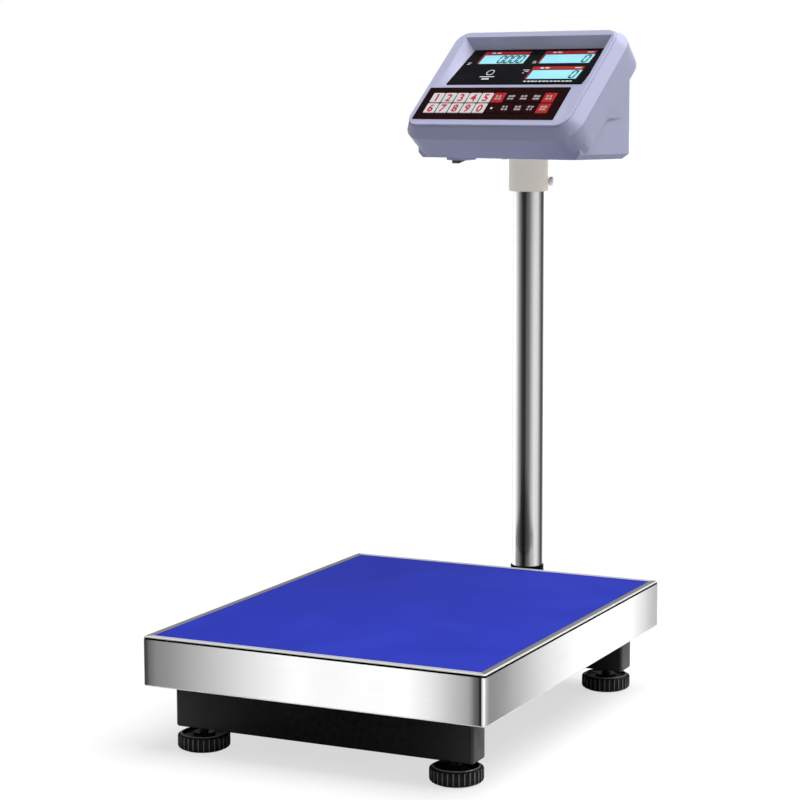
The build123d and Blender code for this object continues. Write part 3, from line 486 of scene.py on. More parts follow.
def poleSteel():
    # polished tube: painted reflection bands along the pole by the angle about its axis, twice round,
    # with fine drawing lines along the length
    material, tree, shader, place = startMaterial("poleSteel", 0.16, 1.0)
    shift = tree.nodes.new("ShaderNodeMapping")
    shift.inputs["Location"].default_value = (-poleFoot[0], -poleFoot[1], 0.0)
    tree.links.new(place, shift.inputs["Vector"])
    split = tree.nodes.new("ShaderNodeSeparateXYZ")
    tree.links.new(shift.outputs[0], split.inputs[0])
    angle = mathNode(tree, "ARCTAN2", split.outputs["Y"], split.outputs["X"])
    turn = mathNode(tree, "ADD", mathNode(tree, "MULTIPLY", angle, 0.5 / math.pi), 2.0 + polePaintedBandShift)
    half = mathNode(tree, "MULTIPLY", mathNode(tree, "FRACT", mathNode(tree, "MULTIPLY", turn, 2.0)), 0.5)
    lines = useGroup(tree, "brush", place, Stretch=(900.0, 900.0, 2.0))
    streaks = rangeOf(tree, lines["Streak"], 0.93, 1.03, -0.3, 0.3)
    tree.links.new(mixColour(tree, 1.0, rampOf(tree, half, polePaintedReflection), streaks, "MULTIPLY"),
                   shader.inputs["Base Color"])
    tree.links.new(rangeOf(tree, lines["Height"], 0.1, 0.24), shader.inputs["Roughness"])
    bumpFrom(tree, shader, lines["Height"], 0.02, 0.0001)
    return material


polePaintedBandShift = 0.18


def blueSheetMaterial():
    # satin blue film: faint woven scuffs both ways and a slightly clouded tone; its reflection in the pole
    # is painted pale grey
    material, tree, shader, place = startMaterial("blueFilm", 0.5, 0.0)
    shader.inputs["Specular IOR Level"].default_value = 0.02
    across = useGroup(tree, "brush", place, Stretch=(6.0, 700.0, 1.0))
    along = useGroup(tree, "brush", place, Stretch=(700.0, 6.0, 1.0))
    cloud = useGroup(tree, "smudge", place, Scale=6.0)
    cloth = mathNode(tree, "ADD", across["Streak"], along["Streak"])
    body = mixColour(tree, cloud["Mask"], (0.023, 0.036, 0.385), (0.028, 0.043, 0.43))
    tinted = mixColour(tree, 1.0, body, rangeOf(tree, cloth, 0.9, 1.1, -0.3, 0.3), "MULTIPLY")
    # mirror rays see a painted pale grey in place of the blue
    mirrored = tree.nodes.new("ShaderNodeLightPath").outputs["Is Glossy Ray"]
    tree.links.new(mixColour(tree, mirrored, tinted, (0.35, 0.35, 0.38)), shader.inputs["Base Color"])
    tree.links.new(rangeOf(tree, cloth, 0.5, 0.62, -0.3, 0.3), shader.inputs["Roughness"])
    bumpFrom(tree, shader, cloth, 0.04, 0.0002)
    return material


def plainMetal(name, colour, roughness, stretch=(40.0, 40.0, 700.0), wearTint=(0.9, 0.9, 0.88)):
    # machined or plated metal: tool lines in tone and gloss, bright rubbed edges
    material, tree, shader, place = startMaterial(name, roughness, 1.0)
    lines = useGroup(tree, "brush", place, Stretch=stretch)
    wear = useGroup(tree, "wear", place, Amount=0.8)
    toned = mixColour(tree, 1.0, colour, rangeOf(tree, lines["Streak"], 0.8, 1.12, -0.3, 0.3), "MULTIPLY")
    tree.links.new(mixColour(tree, wear["Mask"], toned, wearTint), shader.inputs["Base Color"])
    tree.links.new(rangeOf(tree, lines["Height"], roughness - 0.08, roughness + 0.12),
                   shader.inputs["Roughness"])
    bumpFrom(tree, shader, lines["Height"], 0.06, 0.0002)
    return material


def paintedEdgeHighlight(name, tone):
    # painted highlight on the pan's bent edges: bright and one third metal, with fine lines in tone and
    # gloss
    material, tree, shader, place = startMaterial(name, 0.35, 0.35)
    lines = useGroup(tree, "brush", place, Stretch=(300.0, 300.0, 300.0))
    body = mixColour(tree, 1.0, (tone, tone, tone),
                     rangeOf(tree, lines["Streak"], 0.94, 1.03, -0.3, 0.3), "MULTIPLY")
    tree.links.new(body, shader.inputs["Base Color"])
    tree.links.new(rangeOf(tree, lines["Height"], 0.28, 0.42), shader.inputs["Roughness"])
    return material


def shadowGap(name):
    # painted shadow inside the folded seam: nearly black, with a little dust
    material, tree, shader, place = startMaterial(name, 0.8)
    shader.inputs["Specular IOR Level"].default_value = 0.05
    grainOut = useGroup(tree, "grain", place, Scale=1500.0)
    tree.links.new(mixColour(tree, grainOut["Mottle"], (0.001, 0.001, 0.001), (0.005, 0.005, 0.005)),
                   shader.inputs["Base Color"])
    return material


def printedInk(name, colour, roughness=0.3, spread=0.08, specular=0.25):
    # screen-printed ink or film: a little uneven in tone and gloss
    material, tree, shader, place = startMaterial(name, roughness)
    shader.inputs["Specular IOR Level"].default_value = specular
    grainOut = useGroup(tree, "grain", place, Scale=2600.0)
    smudge = useGroup(tree, "smudge", place, Scale=30.0)
    paler = tuple(min(c * (1 + spread) + spread * 0.03, 1.0) for c in colour)
    tree.links.new(mixColour(tree, grainOut["Mottle"], colour, paler), shader.inputs["Base Color"])
    tree.links.new(rangeOf(tree, smudge["Mask"], roughness - 0.06, roughness + 0.1),
                   shader.inputs["Roughness"])
    bumpFrom(tree, shader, grainOut["Height"], 0.03, 0.0002)
    return material


def blackAcrylic():
    # window printed black behind: near-black with faint smudges in its low gloss
    material, tree, shader, place = startMaterial("windowAcrylic", 0.12, 0.0)
    shader.inputs["Specular IOR Level"].default_value = 0.03
    smudge = useGroup(tree, "smudge", place, Scale=18.0)
    tree.links.new(mixColour(tree, smudge["Mask"], (0.004, 0.004, 0.006), (0.009, 0.009, 0.012)),
                   shader.inputs["Base Color"])
    tree.links.new(rangeOf(tree, smudge["Mask"], 0.1, 0.24), shader.inputs["Roughness"])
    return material


def lcdGlow():
    # backlit display: pale blue emission, mixed between two close tones by slow noise
    material, tree, shader, place = startMaterial("lcdBacklight", 0.2)
    haze = useGroup(tree, "smudge", place, Scale=26.0)
    glow = mixColour(tree, haze["Mask"], (0.3, 0.72, 0.84), (0.36, 0.8, 0.92))
    shader.inputs["Base Color"].default_value = (0.1, 0.24, 0.28, 1)
    tree.links.new(glow, shader.inputs["Emission Color"])
    shader.inputs["Emission Strength"].default_value = 0.85
    return material


def circuitBoard():
    # green solder mask with paler traces from a checker of stretched noise
    material, tree, shader, place = startMaterial("solderMask", 0.32)
    traces = useGroup(tree, "brush", place, Stretch=(30.0, 420.0, 420.0))
    mask = rampOf(tree, traces["Height"], [(0.46, 0.0), (0.5, 1.0), (0.54, 0.0)])
    tree.links.new(mixColour(tree, mask, (0.012, 0.11, 0.035), (0.03, 0.24, 0.07)),
                   shader.inputs["Base Color"])
    tree.links.new(rangeOf(tree, traces["Height"], 0.25, 0.42), shader.inputs["Roughness"])
    return material


finish = {
    "lavender": mouldedPlastic("lavenderHousing", (0.6, 0.615, 0.86), (0.82, 0.82, 0.94), 0.4, 1300.0,
                               0.05, 0.92, 0.3),
    "cream": creamPlastic(),
    "blackPlastic": mouldedPlastic("blackMoulding", (0.012, 0.012, 0.013), (0.12, 0.12, 0.12), 0.38,
                                   900.0, 0.08, 0.7),
    "rubber": mouldedPlastic("blackRubber", (0.018, 0.018, 0.018), (0.06, 0.06, 0.06), 0.75, 600.0,
                             0.15, 0.7),
    "batteryCase": mouldedPlastic("batteryCase", (0.05, 0.05, 0.055), (0.2, 0.2, 0.2), 0.5, 700.0, 0.08),
    "paint": powderPaint("blackPowderPaint"),
    "panEdgeHighlight": paintedEdgeHighlight("panEdgeHighlight", 0.95),
    "seam": shadowGap("seamShadow"),
    # painted highlight for the foot knobs' rib tops and raised ring
    "rib": mouldedPlastic("knobRibHighlight", (0.22, 0.22, 0.22), (0.35, 0.35, 0.35), 0.32, 900.0, 0.03),
    "knob": mouldedPlastic("knobMoulding", (0.006, 0.006, 0.006), (0.02, 0.02, 0.02), 0.34, 900.0, 0.05,
                           0.7, 0.15),
    "capPlastic": mouldedPlastic("endCapPlastic", (0.075, 0.075, 0.078), (0.2, 0.2, 0.2), 0.45, 900.0,
                                 0.05, 0.8, 0.2),
    "legend": printedInk("keyLegend", (0.5, 0.47, 0.47), 0.35),
    "panSteel": panSteel(),
    "poleSteel": poleSteel(),
    "blue": blueSheetMaterial(),
    "zinc": plainMetal("zincPlate", (0.66, 0.66, 0.64), 0.3),
    "blackened": plainMetal("blackenedSteel", (0.03, 0.03, 0.03), 0.42, wearTint=(0.15, 0.15, 0.15)),
    "castCell": plainMetal("cellAluminium", (0.78, 0.79, 0.8), 0.34, (8.0, 500.0, 500.0)),
    "brass": plainMetal("padBrass", (0.8, 0.6, 0.26), 0.3),
    "acrylic": blackAcrylic(),
    "lcd": lcdGlow(),
    "lcdInk": printedInk("lcdSegments", (0.012, 0.03, 0.04), 0.3),
    "redBar": printedInk("redHeader", (0.5, 0.008, 0.012), 0.25),
    "whiteInk": printedInk("whiteLegend", (0.8, 0.8, 0.82), 0.35),
    "film": printedInk("maroonFilm", (0.016, 0.002, 0.003), 0.3, 0.08, 0.03),
    "whiteKey": printedInk("whiteKey", (0.83, 0.8, 0.81), 0.32),
    "redKey": printedInk("redKey", (0.56, 0.012, 0.014), 0.3),
    "darkKey": printedInk("darkKey", (0.022, 0.002, 0.004), 0.3, 0.08, 0.03),
    "keyInk": printedInk("keyDigits", (0.62, 0.02, 0.045), 0.35),
    "board": circuitBoard(),
}
print("materials made:", len(finish))

panSizes = {"metal": 0.0013, "rim": 0.0085, "corner": 0.0026, "edge": 0.001, "seamTop": 0.1248,
            "seamLow": 0.1226,
            "seamDepth": 0.0006, "brightEdge": 0.0016, "hem": 0.0011}


def makePan():
    # the pan's section carried round its rounded outline: field, rim, folded edge with a painted highlight,
    # seam groove with a painted shadow, skirt, hem with a painted highlight and the inner wall back up to
    # the underside
    low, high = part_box("pan")
    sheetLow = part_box("blue_top_sheet")[0].z
    width, depth, top, bottom = high.x - low.x, high.y - low.y, high.z, low.z
    edge, metal, groove = panSizes["edge"], panSizes["metal"], panSizes["seamDepth"]
    # slot 1 is the seam's painted shadow, slot 2 the painted highlight on the bent edges and the hem
    steel, dark, bright = 0, 1, 2
    bend = np.linspace(0, math.pi / 2, 5)
    # each row: inset from the outline, level, and the material of the band that follows it
    section = [(panSizes["rim"] + 0.004, sheetLow, steel), (panSizes["rim"], sheetLow, steel)]
    section += [(panSizes["rim"], top - 0.0003, steel), (panSizes["rim"] - 0.0003, top, steel)]
    section += [(panSizes["brightEdge"], top, bright)]
    section += [(edge * (1 - math.sin(a)), top - edge * (1 - math.cos(a)), bright) for a in bend]
    section += [(0.0, panSizes["seamTop"], dark), (groove, panSizes["seamTop"] - 0.0001, dark)]
    section += [(groove, panSizes["seamLow"], dark), (0.0, panSizes["seamLow"] - 0.0001, steel)]
    section += [(0.0, bottom + panSizes["hem"], bright), (0.0, bottom + 0.0007, bright)]
    section += [(0.0002, bottom + 0.0002, bright), (0.0006, bottom, steel),
                (metal - 0.0002, bottom + 0.0001, steel)]
    section += [(metal, bottom + 0.0006, steel), (metal, sheetLow - 0.0022, steel),
                (metal + 0.001, sheetLow - 0.0012, steel)]
    rings = []
    for inset, level, band in section:
        flat = cornerRing(width - 2 * inset, depth - 2 * inset, panSizes["corner"] - inset * 0.8, 8)
        rings.append(np.column_stack([flat, np.full(len(flat), level)]))
    bands = [band for inset, level, band in section[:-1]]
    return makePiece("weighingPan", [gridPatch(np.array(rings), bands, True, True, True)],
                     [finish["panSteel"], finish["seam"], finish["panEdgeHighlight"]], "weighing_pan", ("pan",),
                     40.0)


def makeSheet():
    # the blue sheet: a plate with its upper edge eased
    low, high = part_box("blue_top_sheet")
    patch = slabPatch(lambda p: p, high.x - low.x, high.y - low.y, 0.0019, low.z, high.z, 0.0004)
    return makePiece("blueTopSheet", [patch], [finish["blue"]], "weighing_pan", ("blue_top_sheet",))


makePan()
makeSheet()
print("pan and sheet made")

baseSizes = {"corner": 0.003, "wall": 0.0015}


def boxTube(name, node, axis, material, body="base"):
    # rounded box section carried along X or Y; the wall turns in at each end
    low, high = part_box(node)
    low, high = np.array(low), np.array(high)
    other = 1 - axis
    width, height = high[other] - low[other], high[2] - low[2]
    middle = (low + high) / 2
    rings = []
    wall = baseSizes["wall"]
    for inset, along in ((0.0, low[axis]), (0.0, high[axis]), (wall, high[axis]), (wall, low[axis])):
        flat = cornerRing(width - 2 * inset, height - 2 * inset, baseSizes["corner"] - inset, 6)
        ring = np.zeros((len(flat), 3))
        ring[:, axis] = along
        ring[:, other] = middle[other] + flat[:, 0]
        ring[:, 2] = middle[2] + flat[:, 1]
        rings.append(ring)
    rings.append(rings[0])
    return makePiece(name, [gridPatch(np.array(rings))], [material], body, (node,))


def mergeRings(piece):    # joins the ring that was laid twice where the section closes on itself
    work = bmesh.new()
    work.from_mesh(piece.data)
    bmesh.ops.remove_doubles(work, verts=work.verts, dist=1e-7)
    bmesh.ops.recalc_face_normals(work, faces=work.faces)
    work.to_mesh(piece.data)
    work.free()
    return piece


mergeRings(boxTube("frontCrossbar", "front_crossbar", 0, finish["paint"]))
mergeRings(boxTube("rearCrossbar", "rear_crossbar", 0, finish["paint"]))
mergeRings(boxTube("spineBeam", "spine_beam", 1, finish["paint"]))


def makeEndCaps():
    # four plugs: a flange with eased outer edge on a plain stub
    low, high = (np.array(corner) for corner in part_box("crossbar_end_caps"))
    barLow, barHigh = (np.array(corner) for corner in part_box("front_crossbar"))
    width, height = barHigh[1] - barLow[1], barHigh[2] - barLow[2]
    patches = []
    for hand in (-1, 1):
        for y in (low[1] + width / 2, high[1] - width / 2):
            def place(points, hand=hand, y=y):
                level = (low[2] + high[2]) / 2
                return np.stack([hand * points[..., 2], y + points[..., 0], level + points[..., 1]],
                                axis=-1)
            patches.append(slabPatch(place, width, height, 0.003, barHigh[0], high[0], 0.0024))
            patches.append(slabPatch(place, width - 0.0036, height - 0.0036, 0.0015, barHigh[0] - 0.01,
                                     barHigh[0], 0.0003))
    return makePiece("crossbarEndCaps", patches, [finish["capPlastic"]], "base", ("crossbar_end_caps",))


makeEndCaps()

footSizes = {"radius": 0.0283, "flutes": 30, "fluteDepth": 0.0013, "bottom": 0.0015, "top": 0.0175,
             "ringRadius": 0.0238, "dish": 0.003, "stud": 0.005, "pitch": 0.0015, "threadDepth": 0.00045}


def fluteWave(angle, radius, distance):
    # outer radius dips by fluteDepth between narrow ribs: wide round valleys, rib tops 1 - |sin|
    depth = footSizes["fluteDepth"] * np.clip((radius - 0.0258) / 0.0018, 0, 1)
    valley = np.clip(np.abs(np.sin(angle * footSizes["flutes"] / 2)) * 1.9 - 0.45, 0, 1)
    return radius - depth * valley


def makeFoot(number):
    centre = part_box(f"foot_pad_{number}")
    middle = np.array([(centre[0].x + centre[1].x) / 2, (centre[0].y + centre[1].y) / 2, 0.0])
    r, top, bottom = footSizes["radius"], footSizes["top"], footSizes["bottom"]
    ring, floor = footSizes["ringRadius"], top - footSizes["dish"]
    # down the middle of the top, over the raised ring, round the ribbed rim and into the underside
    profile = [(0.0052, top), (0.0112, top), (0.0118, top - 0.0005), (0.0121, floor + 0.0004),
               (0.0127, floor),
               (ring - 0.0016, floor), (ring - 0.0009, floor + 0.0006), (ring - 0.0006, top - 0.0003),
               (ring - 0.0002, top), (ring + 0.0003, top), (ring + 0.0009, top - 0.0008),
               (r - 0.0021, top - 0.0012),
               (r - 0.0006, top - 0.0019), (r, top - 0.0028), (r, bottom + 0.003),
               (r - 0.0003, bottom + 0.0016),
               (r - 0.0012, bottom + 0.0006), (0.0262, bottom), (0.0246, bottom), (0.0243, bottom + 0.0004),
               (0.0243, 0.0043), (0.0065, 0.0044), (0.0063, 0.0048), (0.0063, 0.0083), (0.005, 0.0085)]
    bands = [0] * len(profile)
    # the raised ring's top and outer slope take the painted highlight
    bands[8:10] = [2, 2]        # the raised ring's own top and outer slope
    knob = latheRings(profile, middle, (1, 0, 0), (0, 0, 1), footSizes["flutes"] * 12, fluteWave)
    closed = np.concatenate([knob, knob[:1]])
    # the stud's thread: radius rises and falls with distance minus the turn about the axis
    turns = np.linspace(0, 1, 28, endpoint=False)
    levels = np.arange(0.0085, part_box(f"foot_knob_{number}")[1].z - 0.001, footSizes["pitch"] / 5)

    def threadWave(angle, radius, distance):
        phase = distance / footSizes["pitch"] - angle / (2 * math.pi)
        return radius - footSizes["threadDepth"] * np.abs(2 * (phase - np.floor(phase + 0.5)))

    threadProfile = [(footSizes["stud"] * 0.98, level) for level in levels]
    stud = latheRings(threadProfile, middle, (1, 0, 0), (0, 0, 1), len(turns), threadWave)
    tip = latheRings([(0.0036, levels[-1] + 0.0009)], middle, (1, 0, 0), (0, 0, 1), len(turns))
    studPatch = gridPatch(np.concatenate([stud, tip]), 1, True, True, True)
    piece = makePiece(f"footKnob{number}", [gridPatch(closed, bands), studPatch],
                      [finish["knob"], finish["blackened"], finish["rib"]], f"foot_{number}_knob",
                      (f"foot_knob_{number}",), 40.0)
    mergeRings(piece)
    # the faces on the ribs' tops take the painted highlight
    count = len(piece.data.polygons)
    centres, slots = np.zeros(count * 3), np.zeros(count, int)
    piece.data.polygons.foreach_get("center", centres)
    piece.data.polygons.foreach_get("material_index", slots)
    reach = np.hypot(*(centres.reshape(-1, 3) - middle)[:, :2].T)
    slots[reach > r - 0.00035] = 2
    piece.data.polygons.foreach_set("material_index", slots)
    padProfile = [(0.0001, 0.0), (0.0228, 0.0), (0.0237, 0.0005), (0.024, 0.0014), (0.024, 0.0036),
                  (0.0236, 0.004),
                  (0.0062, 0.004), (0.006, 0.0042), (0.006, 0.0076), (0.0056, 0.008), (0.0001, 0.008)]
    pad = latheRings(padProfile, middle, (1, 0, 0), (0, 0, 1), 72)
    makePiece(f"footPad{number}", [gridPatch(pad, 0, True, True, True)], [finish["rubber"]],
              f"foot_{number}_pad", (f"foot_pad_{number}",))


for number in (1, 2, 3, 4):
    makeFoot(number)
print("base and feet made")

poleSizes = {"radius": 0.01905, "wall": 0.0012, "collar": 0.0206, "socket": 0.02435, "steps": 96}


def makePole():
    # tube with eased ends, turned about the pole axis
    low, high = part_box("pole")
    r, wall = poleSizes["radius"], poleSizes["wall"]
    levels = np.linspace(low.z + 0.0006, high.z - 0.0006, 13)
    outer = [(r - 0.0005, low.z), *((r, level) for level in levels), (r - 0.0005, high.z)]
    inner = [(r - wall, high.z - 0.0002), (r - wall, low.z + 0.0002)]
    rings = latheRings([*outer, *inner, outer[0]], poleFoot, (1, 0, 0), (0, 0, 1), poleSizes["steps"])
    return mergeRings(makePiece("poleTube", [gridPatch(rings)], [finish["poleSteel"]], "base", ("pole",)))


def makeCollar():
    low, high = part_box("pole_collar")
    inside = poleSizes["radius"] + 0.0001
    profile = [(inside, low.z), (0.0276, low.z), (0.028, low.z + 0.0006), (0.028, low.z + 0.0032),
               (0.0273, low.z + 0.004), (0.0222, low.z + 0.0042), (poleSizes["collar"], low.z + 0.0055),
               (poleSizes["collar"], high.z - 0.0009), (poleSizes["collar"] - 0.0008, high.z),
               (inside, high.z),
               (inside, low.z)]
    rings = latheRings(profile, poleFoot, (1, 0, 0), (0, 0, 1), poleSizes["steps"])
    return mergeRings(makePiece("poleCollar", [gridPatch(rings)], [finish["paint"]], "base",
                                ("pole_collar",)))


def makeSocket():
    # cream socket: eased lower lip, slight draft, a parting rib under the head, and the roof inside
    low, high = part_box("head_socket")
    r, bore = poleSizes["socket"], poleSizes["radius"] + 0.00007
    profile = [(bore, low.z), (r - 0.0012, low.z), (r - 0.0003, low.z + 0.0005), (r, low.z + 0.0016),
               (r - 0.0003, 0.6185), (r + 0.0001, 0.62), (r, high.z - 0.001), (r - 0.001, high.z),
               (0.006, high.z),
               (0.006, high.z - 0.006), (bore, high.z - 0.006), (bore, low.z)]
    rings = latheRings(profile, poleFoot, acrossHead, (0, 0, 1), poleSizes["steps"])
    patches = [gridPatch(rings)]
    patches.append(slabPatch(onHead, 0.072, 0.054, 0.005, 0.6242, 0.6277, 0.0005))
    return mergeRings(makePiece("headSocket", patches, [finish["cream"]], "head", ("head_socket",)))


def makeClampScrew():
    # knurled head on a plain shank, along the clamp's own axis
    outwards = np.array(joints["clamp_turn"]["axis"], float)
    middle = poleFoot + upright * joints["clamp_turn"]["pos_m"][2]
    knurl = 16

    def wave(angle, radius, distance):
        return radius - 0.0004 * np.clip((radius - 0.004) / 0.001, 0,
                                         1) * (0.5 - 0.5 * np.cos(knurl * angle))

    profile = [(0.0001, 0.0209), (0.0029, 0.0209), (0.003, 0.0212), (0.003, 0.0252), (0.0047, 0.0252),
               (0.0054, 0.0257), (0.0055, 0.0262), (0.0055, 0.0294), (0.0051, 0.0301), (0.0046, 0.0304),
               (0.0034, 0.0304), (0.003, 0.0299), (0.0001, 0.0299)]
    rings = latheRings(profile, middle, upright, outwards, knurl * 8, wave)
    return makePiece("clampScrew", [gridPatch(rings, 0, True, True, True)], [finish["zinc"]], "clamp",
                     ("clamp_screw",), 40.0)


makePole()
makeCollar()
makeSocket()
makeClampScrew()
print("pole made")

bevelledCopy("frontCover", "front_cover", finish["lavender"], "head", 0.0007)
bevelledCopy("rearCover", "rear_cover", finish["lavender"], "head", 0.0009)
bevelledCopy("batteryDoor", "battery_door", finish["lavender"], "head", 0.0004, 2)
bevelledCopy("powerInlet", "power_inlet", finish["blackPlastic"], "head", 0.0004, 2)
bevelledCopy("powerRocker", "power_rocker", finish["blackPlastic"], "rocker", 0.0005, 2)
bevelledCopy("poleBracket", "pole_bracket", finish["paint"], "base", 0.0006, 2)

displaySizes = {
    "lcdRows": (0.0205, 0.053),
    "lcdHeight": 0.0185,
    "lcds": [("left", 0.0569, 0.068, 0, "0.000"), ("rightTop", 0.1515, 0.073, 0, "0"),
             ("rightLow", 0.1515, 0.073, 1, "0")],
    "header": 0.0062,
    "digitHeight": 0.0142,
    "digitWidth": 0.0066,
    "digitPitch": 0.0096,
    "stroke": 0.0021,
    "slant": 0.11,
    "tipGap": 0.05,          # share of the stroke left open between two segments
    "figureInset": 0.0058,   # last figure to the glass's right edge
    "pointSize": 0.0013,
    "pointDrop": 0.0006,
    "glassSink": 0.0004,
    "glassDepth": 0.0064,
    "glassCorner": 0.0003,
    "glassEdge": 0.0002,
    "headerGap": 0.0003,
    "headerReach": 0.0022,   # how far a header starts left of its glass
    "sideBar": 0.0018,
    "badge": (-0.047, -0.0125),
    "badgeRadii": (0.0044, 0.0056),
    "ink": 0.00012,
}


def segmentBar(start, end, stroke):
    # six-sided bar from start to end with pointed tips
    start, end = np.array(start, float), np.array(end, float)
    along = (end - start) / np.linalg.norm(end - start)
    across = np.array([-along[1], along[0]]) * stroke / 2
    tip = along * stroke / 2
    return np.array([start, start + tip + across, end - tip + across, end, end - tip - across,
                     start + tip - across])


def inkPatch(place, outline, level, thickness, slot=0):
    # a printed or lit shape: its outline raised by the ink's thickness and closed
    rings = [np.column_stack([outline, np.full(len(outline), z)]) for z in (level, level + thickness)]
    return gridPatch(place(np.array(rings)), slot, True, True, True)


def digitOutlines(x, y, height, width):
    # the lit segments of a nought on a slanted seven-segment figure
    stroke = displaySizes["stroke"]
    gap = stroke * displaySizes["tipGap"]
    lean = displaySizes["slant"]
    corners = {(i, j): np.array([x + i * width + (j * height / 2) * lean,
                                 y + j * height / 2]) for i in (0, 1) for j in (0, 1, 2)}
    runs = [((0, 2), (1, 2)), ((1, 2), (1, 1)), ((1, 1), (1, 0)), ((0, 0), (1, 0)), ((0, 1), (0, 0)),
            ((0, 2), (0, 1))]
    outlines = []
    for run in runs:
        start, end = (corners[key] for key in run)
        step = (end - start) / np.linalg.norm(end - start) * gap
        outlines.append(segmentBar(start + step, end - step, stroke))
    return outlines


def rectangle(x, y, width, height):
    return np.array([(x, y), (x + width, y), (x + width, y + height), (x, y + height)])


def makeDisplay():
    width, height = headSizes["windowSize"]
    front = headSizes["windowThickness"]
    ink = displaySizes["ink"]
    sink = displaySizes["glassSink"]
    glass, digits, headers, marks = [], [], [], []

    def addBar(shapes, x, y, barWidth, barHeight, level=front):
        shapes.append(inkPatch(onWindow, rectangle(x, y, barWidth, barHeight), level, ink))

    for name, middle, lcdWidth, row, figures in displaySizes["lcds"]:
        x = middle - width / 2
        y = height / 2 - displaySizes["lcdRows"][row]
        lcdHeight = displaySizes["lcdHeight"]
        back = front - displaySizes["glassDepth"]
        face = front - sink
        glass.append(slabPatch(onWindow, lcdWidth, lcdHeight, displaySizes["glassCorner"], back, face,
                               displaySizes["glassEdge"], 0, (x, y), 2))
        right = x + lcdWidth / 2 - displaySizes["figureInset"]
        figureHeight, figureWidth = displaySizes["digitHeight"], displaySizes["digitWidth"]
        low = y - figureHeight / 2
        for place in range(len(figures.replace(".", ""))):
            left = right - figureWidth - place * displaySizes["digitPitch"]
            for outline in digitOutlines(left, low, figureHeight, figureWidth):
                digits.append(inkPatch(onWindow, outline, face, ink))
        if "." in figures:
            point, drop = displaySizes["pointSize"], displaySizes["pointDrop"]
            addBar(digits, right - 3 * displaySizes["digitPitch"] + drop, low - drop, point, point, face)
        start, reach = x - lcdWidth / 2, displaySizes["headerReach"]
        space = displaySizes["headerGap"]
        barLow = y + lcdHeight / 2 + space
        addBar(headers, start - reach, barLow, lcdWidth + reach, displaySizes["header"])
        addBar(headers, start - reach, y - lcdHeight / 2, displaySizes["sideBar"], lcdHeight + space)
        for shift, length in ((0.009, 0.0052), (0.0165, 0.0058)):
            addBar(marks, start + shift, barLow + 0.002, length, 0.0024, front + ink)
        if name != "left":
            addBar(marks, x + lcdWidth / 2 - 0.013, barLow + 0.0022, 0.0095, 0.0018, front + ink)
    ticks = [(-0.094, 0.0075, 0.0052), (-0.094, 0.0045, 0.0036), (0.0045, 0.0095, 0.0042),
             (0.0045, 0.0065, 0.0056), (-0.0005, -0.0085, 0.0098), (0.0035, -0.0115, 0.0058),
             (0.0015, -0.0145, 0.0026)]
    for x, y, length in ticks:
        addBar(marks, x, y, length, 0.0013)
    for dash in range(13):
        addBar(marks, 0.014 + dash * 0.0056, -0.0325, 0.0036 + 0.0006 * (dash % 3), 0.0022)
    # a plain ring over two short rules
    turn = np.linspace(0, 2 * math.pi, 40, endpoint=False)
    spokes = np.stack([np.cos(turn), np.sin(turn)], axis=1)
    centre = np.array(displaySizes["badge"])
    inner, outer = displaySizes["badgeRadii"]
    section = [(inner, front), (outer, front), (outer, front + ink), (inner, front + ink), (inner, front)]
    hoop = [np.column_stack([centre + spokes * radius, np.full(len(turn), level)])
            for radius, level in section]
    marks.append(gridPatch(onWindow(np.array(hoop))))
    addBar(marks, -0.058, -0.0222, 0.022, 0.0016)
    addBar(marks, -0.0525, -0.0272, 0.011, 0.0026)
    makePiece("lcdPanels", glass, [finish["lcd"]], "head", ("lcd_panels",))
    makePiece("lcdDigits", digits, [finish["lcdInk"]], "head")
    makePiece("redHeaders", headers, [finish["redBar"]], "head")
    makePiece("windowMarks", marks, [finish["whiteInk"]], "head")


makeDisplay()
bevelledCopy("displayWindow", "display_window", finish["acrylic"], "head", 0.0002, 2)
print("display made")

keySizes = {"left": -0.1016, "pitch": (0.0187, 0.0176), "size": (0.0171, 0.0162), "row": 0.045,
            "top": 0.0009, "thickness": 0.0015, "dish": 0.00012, "corner": 0.0012, "stem": 0.0025,
            "stemEnd": -0.006, "figure": 0.0166, "figureBold": 0.00042, "figureDepth": 0.00005}
keyRows = [["1", "2", "3", "4", "5", "clear", "tare", "zero", "store", "add"],
           ["6", "7", "8", "9", "0", "point", "recall", "unit", "count", "total"]]
redKeys = ("clear", "add", "total")


def digitPatch(text, middle, level, slot):
    # the built-in font's figure, made a mesh, scaled to the key and laid on its face
    curve = bpy.data.curves.new("figure" + text, "FONT")
    curve.body = text
    curve.size = keySizes["figure"]
    curve.offset = keySizes["figureBold"]
    curve.extrude = keySizes["figureDepth"]
    curve.align_x = "CENTER"
    curve.resolution_u = 3
    holder = bpy.data.objects.new("figure" + text, curve)
    bpy.context.scene.collection.objects.link(holder)
    bpy.context.view_layer.update()
    mesh = bpy.data.meshes.new_from_object(holder)
    points = np.zeros(len(mesh.vertices) * 3)
    mesh.vertices.foreach_get("co", points)
    points = points.reshape(-1, 3)
    centre = (points.min(0) + points.max(0)) / 2
    points = points - centre + np.array([middle[0], middle[1], level])
    faces = [list(face.vertices) for face in mesh.polygons]
    bpy.data.objects.remove(holder)
    return onFace(points), faces, [slot] * len(faces)


def functionMarks(name, x, y, level):
    # plain printed strokes in place of words, different for each key
    seed = sum(ord(letter) for letter in name)
    strokes = []
    for line in range(2):
        width = 0.0028 + 0.0009 * ((seed >> line) % 3)
        for word in range(2):
            left = x - 0.0045 + word * 0.005
            strokes.append(rectangle(left, y + 0.0012 - line * 0.0042, width, 0.0026))
            if (seed + word + line) % 2:
                strokes.append(rectangle(left + width * 0.3, y + 0.0012 - line * 0.0042 + 0.003,
                                         width * 0.4, 0.0005))
    return [inkPatch(onFace, stroke, level, 0.00008, 1) for stroke in strokes]


